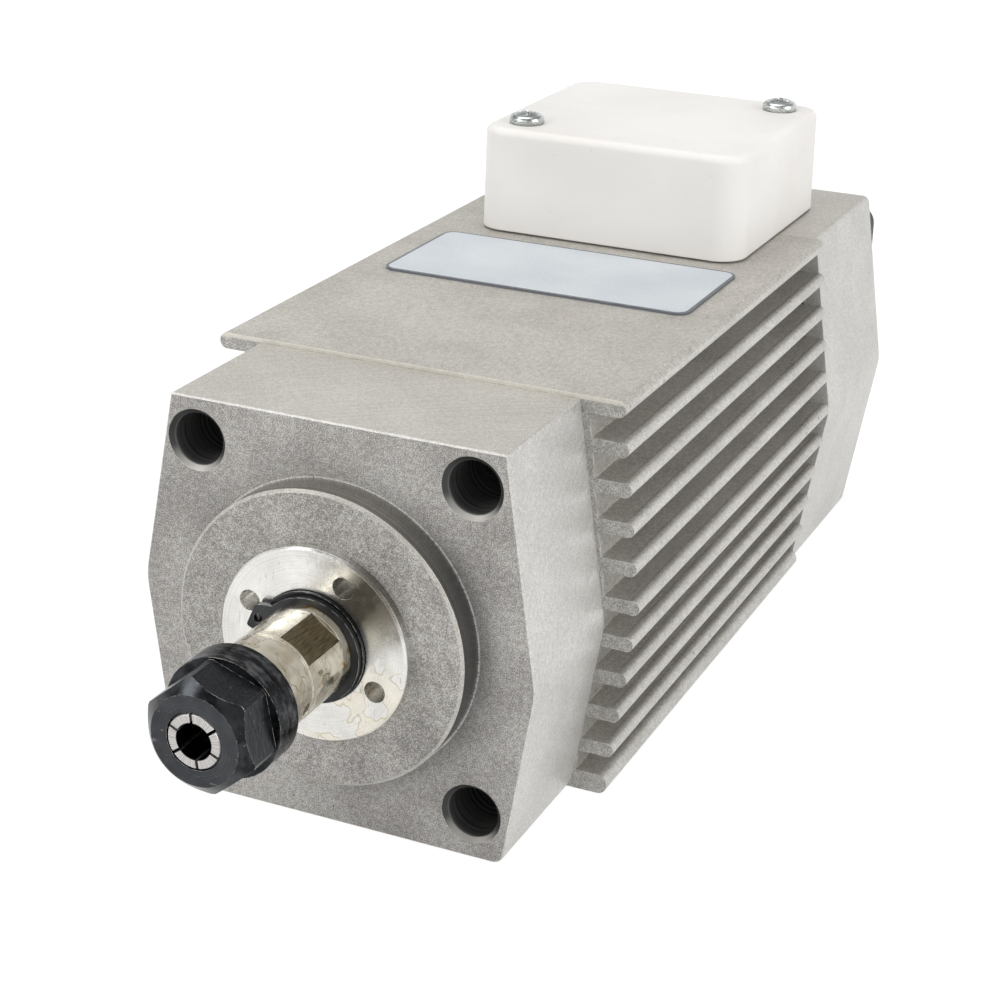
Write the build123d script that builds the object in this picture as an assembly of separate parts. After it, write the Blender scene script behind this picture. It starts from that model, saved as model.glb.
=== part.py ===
from build123d import *
import math
import os

# Air-cooled motor spindle with a collet nose. Millimetres, +Z up.
# The spindle axis is the Y axis and the nose points towards -Y.
# The origin is where the axis meets the front face of the front bracket.

# Clearances
seat_gap = 0.02
running_gap = 0.05
slip_gap = 0.1
air_gap = 0.3
screw_tip_room = 0.6
overcut = 1.0

# Lengths along the axis
front_bracket_depth = 29.0
housing_length = 109.5
rear_bracket_depth = 39.2
housing_start = front_bracket_depth
housing_end = housing_start + housing_length
body_end = housing_end + rear_bracket_depth

# Heights of the machined top and base above and below the axis
plate_top_z = 36.4
base_z = -36.4

# Front bracket outline: half widths and heights of its corners
front_top_half = 30.0
front_top_z = 35.7
front_side_half = 36.1
front_right_z = -4.0
front_left_z = 2.2
front_base_half = 31.0
front_top_radius = 0.4
front_side_radius = 14.0
front_base_radius = 2.2
front_edge_break = 0.25

# Round register on the front face
register_radius = 26.0
register_height = 5.7
register_chamfer = 0.5

# Tie screws, one near each corner of the brackets
tie_x = 24.8
tie_z = 28.7
tie_turn_deg = 1.0
tie_screw_radius = 2.5
tie_head_radius = 4.25
tie_head_height = 5.0
tie_socket_radius = 2.3
tie_socket_depth = 2.5
tie_hole_radius = 2.75
tie_sink_radius = 4.5
tie_sink_chamfer = 0.85
front_sink_depth = 18.0
rear_sink_depth = 20.0
tie_thread_length = 14.0

# Spigots that centre the brackets in the housing bore
spigot_length = 5.0
spigot_wall = 3.0

# Finned housing
housing_bore_radius = 31.0
fin_count = 11
body_side_half = 42.2
fin_tip_top = 38.0
fin_tip_base = 37.6
fin_root_edge = 31.4
fin_root_middle = 35.9
fin_thickness = 2.5
fin_bead_radius = 1.35
top_plate_thickness = 2.9
base_plate_thickness = 3.6
lead_hole_radius = 6.0
lead_hole_inset = 14.5

# Rear bracket outline
rear_top_half = 36.5
rear_side_z = 0.0
rear_base_half = 36.3
rear_top_radius = 1.6
rear_side_radius = 10.0
rear_base_radius = 2.6
rear_edge_break = 0.4

# Air ways from the fan chamber to the fins
fan_chamber_radius = 29.0
fan_chamber_wall = 2.6
duct_width = 1.8
duct_half_height = 26.0
duct_length = 33.5
duct_window_half_height = 13.0
duct_window_margin = 2.0

# Shaft
nose_radius = 8.0
nose_thread_radius = 6.9
nose_thread_chamfer = 0.4
collet_taper_mouth_y = -39.3
wrench_flat_half = 7.35
wrench_flat_start = -21.0
wrench_flat_length = 10.0
wrench_flat_angle = 37.0
nose_groove_y = -22.0
nose_groove_width = 0.6
nose_groove_depth = 0.25
pin_hole_radius = 1.1
pin_hole_depth = 3.0
pin_hole_y = -23.2
pin_hole_angle = -17.0
rotor_seat_radius = 10.0
front_shoulder_radius = 10.4
front_shoulder_length = 6.0
rear_shoulder_radius = 8.0
rear_shoulder_offset = 8.0
tail_radius = 5.0
tail_end_length = 2.4
tool_relief_radius = 3.9
tool_relief_end_y = -18.0

# Collet: a doubly slit cone for a 6 mm shank
collet_face_y = -43.4
collet_length = 18.0
collet_bore_radius = 3.0
collet_face_radius = 4.38
collet_body_radius = 5.75
collet_head_length = 3.0
collet_groove_radius = 4.9
collet_groove_width = 1.0
collet_taper_deg = 8.0
collet_nose_deg = 30.0
collet_slit_width = 0.5
collet_slits = 6
collet_slit_angle = 24.0
collet_front_slit_end = 14.5
collet_rear_slit_start = 4.5

# Collet nut
nut_face_y = -43.3
nut_rear_y = -29.5
nut_opening_radius = 4.76
nut_across_flats = 17.0
nut_corner_radius = 9.6
nut_collar_radius = 10.0
nut_collar_front_y = -35.2
nut_collar_chamfer = 0.3
nut_chamfer_radius = 7.5
nut_thread_start_y = -36.1
nut_thread_length = 5.3
nut_thread_relief = 0.3
nut_turn_deg = 40.5
nut_lip_radius = 5.2
nut_lip_width = 0.6
nut_mouth_chamfer = 0.5

# Front bearings, a matched pair, and the spacers between them
front_bearing_bore = 17.0
front_bearing_outer = 30.0
front_bearing_width = 7.0
front_bearing_y = 0.4
front_ball_radius = 1.95
front_ball_count = 11
bearing_spacer_length = 4.0
bearing_spacer_wall = 1.8
bearing_lip_radius = 12.6
bearing_land = 0.45
bearing_cage_rim = 0.45

# Rear bearing with its preload spring
rear_bearing_bore = 12.0
rear_bearing_outer = 28.0
rear_bearing_width = 8.0
rear_bearing_inset = 7.5
rear_ball_radius = 2.3
rear_ball_count = 8
wave_spring_length = 1.4
wave_spring_thickness = 0.4
wave_spring_crest = 4.0
wave_spring_waves = 3
rear_lip_radius = 11.0
bearing_step = 1.0

# Ring that holds the front bearings, with spanner holes
ring_flange_radius = 17.0
ring_flange_thickness = 1.9
ring_thread_radius = 15.8
ring_bore_radius = 9.8
ring_foot_width = 1.6
ring_relief_depth = 1.2
ring_hole_count = 4
ring_hole_circle = 12.66
ring_hole_radius = 1.85
ring_hole_depth = 4.4
ring_hole_angle = 63.5
ring_edge_chamfer = 0.35

# Labyrinth ring and circlips on the shaft
labyrinth_front_y = -8.4
labyrinth_grooves = 3
labyrinth_groove_width = 0.8
labyrinth_groove_depth = 0.5
labyrinth_groove_pitch = 1.9
circlip_thickness = 1.0
circlip_groove_depth = 0.4
circlip_taper = 0.18
front_clip_radius = 9.17
front_clip_ear_radius = 11.0
front_clip_ear_angle = 20.0
front_clip_opening = 177.0
rear_clip_height = 1.6

# Stator and rotor
stator_front_inset = 21.0
stator_rear_inset = 23.5
stator_bore_radius = 17.5
slot_count = 12
slot_inner_radius = 18.8
slot_outer_radius = 25.4
slot_inner_width = 4.4
slot_outer_width = 7.6
slot_mouth_width = 2.0
slot_liner = 0.3
winding_overhang = 12.0
winding_lift = 1.0
winding_inner_radius = 19.0
winding_outer_radius = 26.5
winding_round = (winding_outer_radius - winding_inner_radius) / 3
rotor_radius = stator_bore_radius - air_gap
cage_bar_count = 14
cage_bar_radius = 1.3
cage_bar_circle = 14.8
cage_ring_inner = 11.5
cage_ring_outer = 16.6
cage_ring_length = 6.0

# Winding leads
lead_count = 4
lead_pitch = 2.6
lead_radius = 0.9
lead_height = 7.0
lead_bend = 4.0

# Fan on the shaft's tail
fan_radius = 26.0
fan_plate_room = 4.0
fan_plate_thickness = 1.6
fan_blade_count = 9
fan_blade_thickness = 1.5
fan_tip_room = 1.5
fan_plate_dish = 1.0
fan_tip_width = 7.0
fan_blade_step = 2.0
fan_hub_taper = 0.6
fan_hub_radius = 8.5
fan_hub_length = 13.0

# Fan cover
cover_width = 71.4
cover_height = 63.2
cover_depth = 11.0
cover_wall = 2.0
cover_corner_radius = 4.0
cover_edge_radius = 1.8
grille_rings = 4
grille_slot_width = 3.4
grille_pitch = 5.6
grille_inner_radius = 5.0
grille_spoke_width = 3.0
cover_screw_x = 30.6
cover_screw_z = 17.0
cover_screw_radius = 1.5
cover_head_radius = 2.8
cover_head_height = 1.9
cover_boss_radius = 3.3
cover_screw_grip = 8.0

# Terminal box on the top plate
box_front_inset = 27.1
box_middle_x = 0.5
box_length = 53.3
box_width = 56.2
box_height = 20.8
box_wall = 2.2
box_corner_radius = 5.5
box_edge_radius = 1.6
box_draft_deg = 0.8
gasket_thickness = 0.4
gasket_width = 3.0
gasket_inset = 0.8
box_screw_inset = 7.6
box_screw_radius = 1.75
box_head_radius = 3.5
box_head_height = 2.4
box_boss_radius = 4.2
box_screw_grip = 4.0

# Terminal block, its screws and the earth screw
block_width = 32.0
block_depth = 11.0
block_height = 10.5
block_inset = 28.1
block_pitch = 7.5
block_screw_radius = 1.4
block_screw_length = 4.0
block_screw_depth = 1.5
block_screw_offset = 1.5
earth_x = 15.0
earth_inset = 10.6
earth_screw_radius = 2.0
earth_head_radius = 3.8
earth_head_height = 2.2
earth_grip = 5.5

# Cable grommet in the rear wall of the terminal box
grommet_z = 45.4
grommet_bore_radius = 3.5
grommet_neck_radius = 5.0
grommet_flange_radius = 6.6
grommet_flange = 1.8
grommet_sleeve_length = 9.0
grommet_sleeve_radius = 4.6
grommet_taper = 0.4

# Name plate, bare
name_plate_width = 61.8
name_plate_length = 29.6
name_plate_gap = 5.5
name_plate_thickness = 0.5
name_plate_corner = 2.6

# Tapped holes in the base
base_hole_radius = 2.5
base_hole_depth = 8.0
base_hole_x = 14.0
base_hole_front_inset = 16.0
base_hole_rear_inset = 11.7

os.makedirs("parts", exist_ok=True)


def turned(*profile):
    """Solid of revolution about the spindle axis, from (radius, y) points."""
    return revolve(make_face(Polyline(*profile, close=True)), axis=Axis.Y)


def tube(outer, inner, start, end):
    """Plain sleeve about the spindle axis."""
    return turned((inner, start), (outer, start), (outer, end), (inner, end))


def rod(radius, start, end, x=0.0, z=0.0):
    """Round bar or hole parallel to the spindle axis."""
    return Pos(x, 0, z) * turned((0, start), (radius, start), (radius, end), (0, end))


def prism(section, start, end):
    """Section drawn in X and Z, drawn out along the spindle axis from start to end."""
    plane = Plane(origin=(0, end, 0), x_dir=(1, 0, 0), z_dir=(0, -1, 0))
    return extrude(plane * section, end - start)


def upright(section, low, high):
    """Section drawn in X and Y, drawn out upwards from low to high."""
    return extrude(Pos(0, 0, low) * section, high - low)


def hexagonal_outline(top_half, top_z, side_half, right_z, left_z, base_half, radii):
    """Outline of a bracket: flat top and base, two slanted faces on each side."""
    top_radius, side_radius, base_radius = radii
    points = [
        (-top_half, top_z),
        (top_half, top_z),
        (side_half, right_z),
        (base_half, base_z),
        (-base_half, base_z),
        (-side_half, left_z),
    ]
    corner_radii = [top_radius, top_radius, side_radius, base_radius, base_radius, side_radius]
    return make_face(FilletPolyline(*points, radius=corner_radii, close=True))


def tie_places():
    """Places of the tie screws: a rectangle that is drilled slightly turned about the axis."""
    cosine = math.cos(math.radians(tie_turn_deg))
    sine = math.sin(math.radians(tie_turn_deg))
    corners = [(x, z) for x in (-tie_x, tie_x) for z in (-tie_z, tie_z)]
    return [(x * cosine - z * sine, x * sine + z * cosine) for x, z in corners]


def at_corners(shape):
    """Copies of a shape at the four tie screw positions."""
    return [Pos(x, 0, z) * shape for x, z in tie_places()]


def around(shape, count, first=0.0):
    """Copies of a shape, turned about the spindle axis."""
    return [Rot(0, first + 360.0 * i / count, 0) * shape for i in range(count)]


def on_plate(x, y):
    """Place on the top plate."""
    return Pos(x, y, plate_top_z)


def save(name, *shapes):
    """Writes one node: one solid, or a group of like solids."""
    shape = shapes[0] if len(shapes) == 1 else Compound(children=list(shapes))
    export_step(shape, f"parts/{name}.step")


# Places worked out from the driving dimensions
ring_clamp_y = front_bearing_y
register_face_y = -register_height
ring_face_y = register_face_y - ring_flange_thickness
second_bearing_y = front_bearing_y + front_bearing_width + bearing_spacer_length
front_seat_end = second_bearing_y + front_bearing_width
front_seat_radius = front_bearing_bore / 2 - seat_gap
rear_bearing_y = housing_end + rear_bearing_inset
rear_seat_end = rear_bearing_y + rear_bearing_width
rear_seat_radius = rear_bearing_bore / 2 - seat_gap
spring_end = rear_seat_end + wave_spring_length
stator_start_y = housing_start + stator_front_inset
stator_end_y = housing_end - stator_rear_inset
lead_hole_y = housing_end - lead_hole_inset
box_start_y = housing_end - box_front_inset
box_end_y = box_start_y + box_length
box_middle_y = box_start_y + box_length / 2
box_foot_z = plate_top_z + gasket_thickness
box_top_z = box_foot_z + box_height
block_start_y = box_start_y + block_inset
earth_y = box_start_y + earth_inset
cover_end = body_end + cover_depth
fan_chamber_start = spring_end + fan_chamber_wall
fan_plate_y = fan_chamber_start + fan_plate_room
fan_hub_end = fan_plate_y + fan_hub_length
fan_blade_end = cover_end - cover_wall - fan_tip_room
circlip_room = circlip_thickness + 2 * seat_gap
front_clip_y = labyrinth_front_y - circlip_thickness - seat_gap
shaft_shoulder_y = nut_rear_y + 2 * slip_gap
collet_nose_length = (collet_body_radius - collet_face_radius) / math.tan(
    math.radians(collet_nose_deg)
)


def base_holes(y):
    """Pair of tapped holes in a bracket's underside."""
    drill = Pos(0, y, base_z) * Cylinder(
        base_hole_radius, base_hole_depth, align=(Align.CENTER, Align.CENTER, Align.MIN)
    )
    return [Pos(-base_hole_x, 0, 0) * drill, Pos(base_hole_x, 0, 0) * drill]


def front_bracket():
    """Cast block with the register, the bearing seat, deep screw holes and a spigot."""
    outline = hexagonal_outline(
        front_top_half,
        front_top_z,
        front_side_half,
        front_right_z,
        front_left_z,
        front_base_half,
        (front_top_radius, front_side_radius, front_base_radius),
    )
    block = prism(outline, 0, front_bracket_depth)
    block = chamfer(block.faces().sort_by(Axis.Y)[0].edges(), front_edge_break)
    block += turned(
        (0, 0.0),
        (register_radius, 0.0),
        (register_radius, register_face_y + register_chamfer),
        (register_radius - register_chamfer, register_face_y),
        (0, register_face_y),
    )
    spigot_radius = housing_bore_radius - seat_gap
    block += tube(
        spigot_radius,
        spigot_radius - spigot_wall,
        front_bracket_depth - overcut,
        front_bracket_depth + spigot_length,
    )
    thread = ring_thread_radius + seat_gap
    seat = front_bearing_outer / 2 + seat_gap
    pocket_radius = spigot_radius - spigot_wall
    pocket_y = front_seat_end + spigot_length
    block -= turned(
        (0, register_face_y - overcut),
        (thread, register_face_y - overcut),
        (thread, ring_clamp_y),
        (seat, ring_clamp_y),
        (seat, front_seat_end),
        (bearing_lip_radius, front_seat_end),
        (bearing_lip_radius, pocket_y),
        (pocket_radius, pocket_y),
        (pocket_radius, front_bracket_depth + spigot_length + overcut),
        (0, front_bracket_depth + spigot_length + overcut),
    )
    sink = turned(
        (0, -overcut),
        (tie_sink_radius + tie_sink_chamfer + overcut, -overcut),
        (tie_sink_radius, tie_sink_chamfer),
        (tie_sink_radius, front_sink_depth),
        (tie_hole_radius, front_sink_depth),
        (tie_hole_radius, front_bracket_depth + overcut),
        (0, front_bracket_depth + overcut),
    )
    block -= at_corners(sink)
    block -= base_holes(base_hole_front_inset)
    return block


def fin_tip(z):
    """Half width of the housing at a fin's height."""
    if z > 0:
        return body_side_half - (body_side_half - fin_tip_top) * z / plate_top_z
    return body_side_half - (body_side_half - fin_tip_base) * z / base_z


def fin(z, thickness):
    """One pair of fins with beaded tips, across the whole housing."""
    bead = max(fin_bead_radius, thickness / 2)
    tip = fin_tip(z) - bead
    bar = Rectangle(2 * tip, thickness)
    ends = Pos(tip, 0) * Circle(bead) + Pos(-tip, 0) * Circle(bead)
    return Pos(0, z) * (bar + ends)


def housing_section():
    """Cross section of the extrusion."""
    core = make_face(
        Polyline(
            (-fin_root_edge, plate_top_z),
            (fin_root_edge, plate_top_z),
            (fin_root_middle, 0),
            (fin_root_edge, base_z),
            (-fin_root_edge, base_z),
            (-fin_root_middle, 0),
            close=True,
        )
    )
    first = plate_top_z - top_plate_thickness / 2
    last = base_z + base_plate_thickness / 2
    pitch = (first - last) / (fin_count - 1)
    section = core + fin(first, top_plate_thickness) + fin(last, base_plate_thickness)
    for i in range(1, fin_count - 1):
        section += fin(first - i * pitch, fin_thickness)
    section -= Circle(housing_bore_radius)
    channel = Circle(tie_screw_radius + seat_gap)
    section -= [Pos(x, z) * channel for x, z in tie_places()]
    return section


def plate_hole(x, y, radius, depth):
    """Hole drilled down from the top plate."""
    return on_plate(x, y) * Cylinder(
        radius, depth, align=(Align.CENTER, Align.CENTER, Align.MAX)
    )


def box_screw_places():
    """The two screws of the terminal box stand on diagonal corners."""
    x = box_width / 2 - box_screw_inset
    return [
        (box_middle_x - x, box_start_y + box_screw_inset),
        (box_middle_x + x, box_end_y - box_screw_inset),
    ]


def finned_housing():
    """Extruded housing with the lead hole and two tapped holes in its top plate."""
    housing = prism(housing_section(), housing_start, housing_end)
    reach = plate_top_z - housing_bore_radius + 2 * overcut
    housing -= plate_hole(0, lead_hole_y, lead_hole_radius, reach)
    x, y = box_screw_places()[0]
    housing -= plate_hole(x, y, box_screw_radius + seat_gap, box_screw_grip + screw_tip_room)
    housing -= plate_hole(earth_x, earth_y, earth_screw_radius + seat_gap, earth_grip + screw_tip_room)
    return housing


def duct(side):
    """Air way along one flank, just inside the rear bracket's outer wall."""
    slope = (fin_root_middle - fin_root_edge) / plate_top_z
    inner_end = fin_root_middle - slope * duct_half_height
    outline = make_face(
        Polyline(
            (side * inner_end, duct_half_height),
            (side * fin_root_middle, 0),
            (side * inner_end, -duct_half_height),
            (side * (inner_end + duct_width), -duct_half_height),
            (side * (fin_root_middle + duct_width), 0),
            (side * (inner_end + duct_width), duct_half_height),
            close=True,
        )
    )
    duct_end = housing_end + duct_length
    way = prism(outline, housing_end - overcut, duct_end)
    window_start = fan_chamber_start + duct_window_margin
    window_length = duct_end - duct_window_margin - window_start
    window_inner = fan_chamber_radius / 2
    window_depth = fin_root_middle + duct_width / 2 - window_inner
    window = Box(window_depth, window_length, 2 * duct_window_half_height)
    middle_x = side * (window_inner + window_depth / 2)
    return way + Pos(middle_x, window_start + window_length / 2, 0) * window


def rear_bracket():
    """Cast rear bracket: spigot, bearing seat, fan chamber, air ways and screw holes."""
    outline = hexagonal_outline(
        rear_top_half,
        plate_top_z,
        body_side_half,
        rear_side_z,
        rear_side_z,
        rear_base_half,
        (rear_top_radius, rear_side_radius, rear_base_radius),
    )
    block = prism(outline, housing_end, body_end)
    block = chamfer(block.faces().sort_by(Axis.Y)[-1].edges(), rear_edge_break)
    spigot_radius = housing_bore_radius - seat_gap
    pocket_radius = spigot_radius - spigot_wall
    pocket_start = housing_end - spigot_length - overcut
    pocket_end = rear_bearing_y - bearing_step
    block += tube(spigot_radius, pocket_radius, housing_end - spigot_length, housing_end + overcut)
    seat = rear_bearing_outer / 2 + seat_gap
    block -= turned(
        (0, pocket_start),
        (pocket_radius, pocket_start),
        (pocket_radius, pocket_end),
        (seat, pocket_end),
        (seat, spring_end),
        (rear_lip_radius, spring_end),
        (rear_lip_radius, fan_chamber_start),
        (fan_chamber_radius, fan_chamber_start),
        (fan_chamber_radius, body_end + overcut),
        (0, body_end + overcut),
    )
    block -= [duct(-1), duct(1)]
    sink_floor = body_end - rear_sink_depth
    sink = turned(
        (0, body_end + overcut),
        (tie_sink_radius, body_end + overcut),
        (tie_sink_radius, sink_floor),
        (tie_hole_radius, sink_floor),
        (tie_hole_radius, housing_end - overcut),
        (0, housing_end - overcut),
    )
    block -= at_corners(sink)
    hole_floor = body_end - cover_screw_grip - screw_tip_room
    hole = rod(cover_screw_radius + seat_gap, hole_floor, body_end + overcut)
    block -= [Pos(x, 0, z) * hole for x, z in cover_places()]
    block -= base_holes(body_end - base_hole_rear_inset)
    x, y = box_screw_places()[1]
    block -= plate_hole(x, y, box_screw_radius + seat_gap, box_screw_grip + screw_tip_room)
    return block


def tie_screw(seat_y, tip_y):
    """Socket head screw. Its head sits on seat_y and its shank ends at tip_y."""
    way = 1.0 if tip_y > seat_y else -1.0
    head_y = seat_y - way * tie_head_height
    return turned(
        (0, head_y + way * tie_socket_depth),
        (tie_socket_radius, head_y + way * tie_socket_depth),
        (tie_socket_radius, head_y),
        (tie_head_radius, head_y),
        (tie_head_radius, seat_y),
        (tie_screw_radius, seat_y),
        (tie_screw_radius, tip_y),
        (0, tip_y),
    )


def retaining_ring():
    """Screwed ring that clamps the front bearings' outer rings."""
    relief_radius = front_bearing_outer / 2 - ring_foot_width
    clamp_y = ring_clamp_y - seat_gap
    ring = turned(
        (ring_bore_radius, ring_face_y),
        (ring_flange_radius - ring_edge_chamfer, ring_face_y),
        (ring_flange_radius, ring_face_y + ring_edge_chamfer),
        (ring_flange_radius, register_face_y),
        (ring_thread_radius, register_face_y),
        (ring_thread_radius, clamp_y),
        (relief_radius, clamp_y),
        (relief_radius, clamp_y - ring_relief_depth),
        (ring_bore_radius, clamp_y - ring_relief_depth),
    )
    hole = rod(
        ring_hole_radius, ring_face_y - overcut, ring_face_y + ring_hole_depth, x=ring_hole_circle
    )
    ring -= around(hole, ring_hole_count, -ring_hole_angle)
    return ring


def bearing_track(pitch_radius, ball_radius, y):
    """Room that the balls run in: a torus about the spindle axis."""
    section = Pos(pitch_radius, y) * Circle(ball_radius + running_gap)
    return revolve(section, axis=Axis.Y)


def bearing(bore, outer, width, ball_radius, count, start):
    """Outer ring, inner ring, cage and balls of one ball bearing."""
    middle = start + width / 2
    pitch = (bore + outer) / 4
    track = bearing_track(pitch, ball_radius, middle)
    land = bearing_land * ball_radius
    outer_ring = tube(outer / 2, pitch + land, start, start + width) - track
    inner_ring = tube(pitch - land, bore / 2, start, start + width) - track
    ball = Pos(pitch, middle, 0) * Sphere(ball_radius)
    balls = around(ball, count)
    cage_half = ball_radius + bearing_cage_rim
    cage = tube(pitch + land - air_gap, pitch - land + air_gap, middle - cage_half, middle + cage_half)
    reach = 3 * ball_radius
    pocket = Pos(pitch, middle, 0) * Rot(0, 90, 0) * Cylinder(ball_radius + slip_gap, reach)
    cage -= around(pocket, count)
    return outer_ring, inner_ring, cage, balls


def wave_spring():
    """Thin spring ring with three waves, between the rear bearing and its bracket."""
    outer = rear_bearing_outer / 2 - slip_gap
    inner = rear_lip_radius + air_gap
    start = rear_seat_end + seat_gap
    ring = tube(outer, inner, start, start + wave_spring_thickness)
    crest = tube(outer, inner, start, spring_end - seat_gap)
    sector = Pos(outer, start + wave_spring_length / 2, 0) * Box(
        2 * outer, 2 * wave_spring_length, wave_spring_crest
    )
    return ring + [crest & part for part in around(sector, wave_spring_waves)]


def stator_slot(clearance):
    """Section of one slot, drawn on the +X side."""
    inner = slot_inner_width / 2 - clearance
    outer = slot_outer_width / 2 - clearance
    return make_face(
        Polyline(
            (slot_inner_radius + clearance, -inner),
            (slot_outer_radius - clearance, -outer),
            (slot_outer_radius - clearance, outer),
            (slot_inner_radius + clearance, inner),
            close=True,
        )
    )


def stator_core():
    """Laminated stack with open slots, shrunk into the housing."""
    slot = prism(stator_slot(0), stator_start_y - overcut, stator_end_y + overcut)
    mouth_length = slot_inner_radius - stator_bore_radius + 2 * overcut
    mouth = Pos((slot_inner_radius + stator_bore_radius) / 2, 0) * Rectangle(
        mouth_length, slot_mouth_width
    )
    opening = prism(mouth, stator_start_y - overcut, stator_end_y + overcut)
    core = tube(housing_bore_radius - seat_gap, stator_bore_radius, stator_start_y, stator_end_y)
    return core - around(slot + opening, slot_count)


def end_winding(start, end):
    """Rounded bundle of end turns."""
    middle = Pos((winding_inner_radius + winding_outer_radius) / 2, (start + end) / 2)
    bundle = RectangleRounded(
        winding_outer_radius - winding_inner_radius, end - start, winding_round
    )
    return revolve(middle * bundle, axis=Axis.Y)


def stator_winding():
    """Coil sides in the slots, joined to the end turns at both ends."""
    front = end_winding(
        stator_start_y - winding_lift - winding_overhang, stator_start_y - winding_lift
    )
    rear = end_winding(
        stator_end_y + winding_lift, stator_end_y + winding_lift + winding_overhang
    )
    side = prism(
        stator_slot(slot_liner),
        stator_start_y - winding_lift - winding_round,
        stator_end_y + winding_lift + winding_round,
    )
    return front + rear + around(side, slot_count)


def winding_leads():
    """Leads from the rear end turns up through the top plate to the terminal block."""
    first = -(lead_count - 1) / 2
    low = winding_outer_radius + slip_gap
    leads = []
    for i in range(lead_count):
        x = (first + i) * lead_pitch
        path = FilletPolyline(
            (x, lead_hole_y, low),
            (x, lead_hole_y, plate_top_z + lead_height),
            (x, block_start_y, plate_top_z + lead_height),
            radius=lead_bend,
        )
        section = Plane(origin=(x, lead_hole_y, low), z_dir=(0, 0, 1)) * Circle(lead_radius)
        leads.append(sweep(section, path=path))
    return leads


def rotor_core():
    """Laminated rotor stack on the shaft, with the bar holes."""
    core = tube(rotor_radius, rotor_seat_radius + seat_gap, stator_start_y, stator_end_y)
    hole = rod(
        cage_bar_radius + seat_gap,
        stator_start_y - overcut,
        stator_end_y + overcut,
        x=cage_bar_circle,
    )
    return core - around(hole, cage_bar_count)


def rotor_cage():
    """Cast squirrel cage: bars through the stack and a ring at each end."""
    front_ring = tube(
        cage_ring_outer, cage_ring_inner, stator_start_y - cage_ring_length, stator_start_y
    )
    rear_ring = tube(
        cage_ring_outer, cage_ring_inner, stator_end_y, stator_end_y + cage_ring_length
    )
    bar = rod(
        cage_bar_radius, stator_start_y - overcut, stator_end_y + overcut, x=cage_bar_circle
    )
    return front_ring + rear_ring + around(bar, cage_bar_count)


def collet_radius(depth):
    """Outer radius of the collet's long cone at a distance from its face."""
    start = collet_head_length + collet_groove_width
    return collet_body_radius - (depth - start) * math.tan(math.radians(collet_taper_deg))


def shaft():
    """Spindle shaft with the collet taper, wrench flats, circlip grooves and seats."""
    taper_depth = collet_taper_mouth_y - collet_face_y
    taper_end_y = collet_face_y + collet_length + slip_gap
    mouth = collet_radius(taper_depth) + running_gap
    root = collet_radius(collet_length + slip_gap) + running_gap
    clip_start = front_clip_y - seat_gap
    clip_groove = nose_radius - circlip_groove_depth
    rear_clip_y = rear_seat_end + seat_gap
    rear_groove = rear_seat_radius - circlip_groove_depth
    tail_clip_y = fan_hub_end + seat_gap
    tail_groove = tail_radius - circlip_groove_depth
    tail_start_y = fan_plate_y - overcut
    rotor_end_y = stator_end_y + rear_shoulder_offset
    body = turned(
        (0, tool_relief_end_y),
        (tool_relief_radius, tool_relief_end_y),
        (tool_relief_radius, taper_end_y),
        (root, taper_end_y),
        (mouth, collet_taper_mouth_y),
        (nose_thread_radius - nose_thread_chamfer, collet_taper_mouth_y),
        (nose_thread_radius, collet_taper_mouth_y + nose_thread_chamfer),
        (nose_thread_radius, shaft_shoulder_y),
        (nose_radius, shaft_shoulder_y),
        (nose_radius, nose_groove_y),
        (nose_radius - nose_groove_depth, nose_groove_y),
        (nose_radius - nose_groove_depth, nose_groove_y + nose_groove_width),
        (nose_radius, nose_groove_y + nose_groove_width),
        (nose_radius, clip_start),
        (clip_groove, clip_start),
        (clip_groove, clip_start + circlip_room),
        (nose_radius, clip_start + circlip_room),
        (nose_radius, front_bearing_y),
        (front_seat_radius, front_bearing_y),
        (front_seat_radius, front_seat_end),
        (front_shoulder_radius, front_seat_end),
        (front_shoulder_radius, front_seat_end + front_shoulder_length),
        (rotor_seat_radius, front_seat_end + front_shoulder_length),
        (rotor_seat_radius, rotor_end_y),
        (rear_shoulder_radius, rotor_end_y),
        (rear_shoulder_radius, rear_bearing_y),
        (rear_seat_radius, rear_bearing_y),
        (rear_seat_radius, rear_clip_y),
        (rear_groove, rear_clip_y),
        (rear_groove, rear_clip_y + circlip_room),
        (rear_seat_radius, rear_clip_y + circlip_room),
        (rear_seat_radius, tail_start_y),
        (tail_radius, tail_start_y),
        (tail_radius, tail_clip_y),
        (tail_groove, tail_clip_y),
        (tail_groove, tail_clip_y + circlip_room),
        (tail_radius, tail_clip_y + circlip_room),
        (tail_radius, tail_clip_y + circlip_room + tail_end_length),
        (0, tail_clip_y + circlip_room + tail_end_length),
    )
    depth = nose_radius - wrench_flat_half + overcut
    middle_y = wrench_flat_start + wrench_flat_length / 2
    cutter = Box(3 * nose_radius, wrench_flat_length, depth)
    flat = Pos(0, middle_y, wrench_flat_half + depth / 2) * cutter
    body -= [Rot(0, wrench_flat_angle, 0) * flat, Rot(0, wrench_flat_angle + 180, 0) * flat]
    drill = Pos(0, pin_hole_y, nose_radius - pin_hole_depth) * Cylinder(
        pin_hole_radius, 2 * pin_hole_depth, align=(Align.CENTER, Align.CENTER, Align.MIN)
    )
    return body - Rot(0, 90 - pin_hole_angle, 0) * drill


def collet_slit(start, end):
    """Saw cut on the +X side, from start to end along the axis."""
    reach = collet_body_radius + overcut
    return Pos(reach / 2, (start + end) / 2, 0) * Box(reach, end - start, collet_slit_width)


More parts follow.
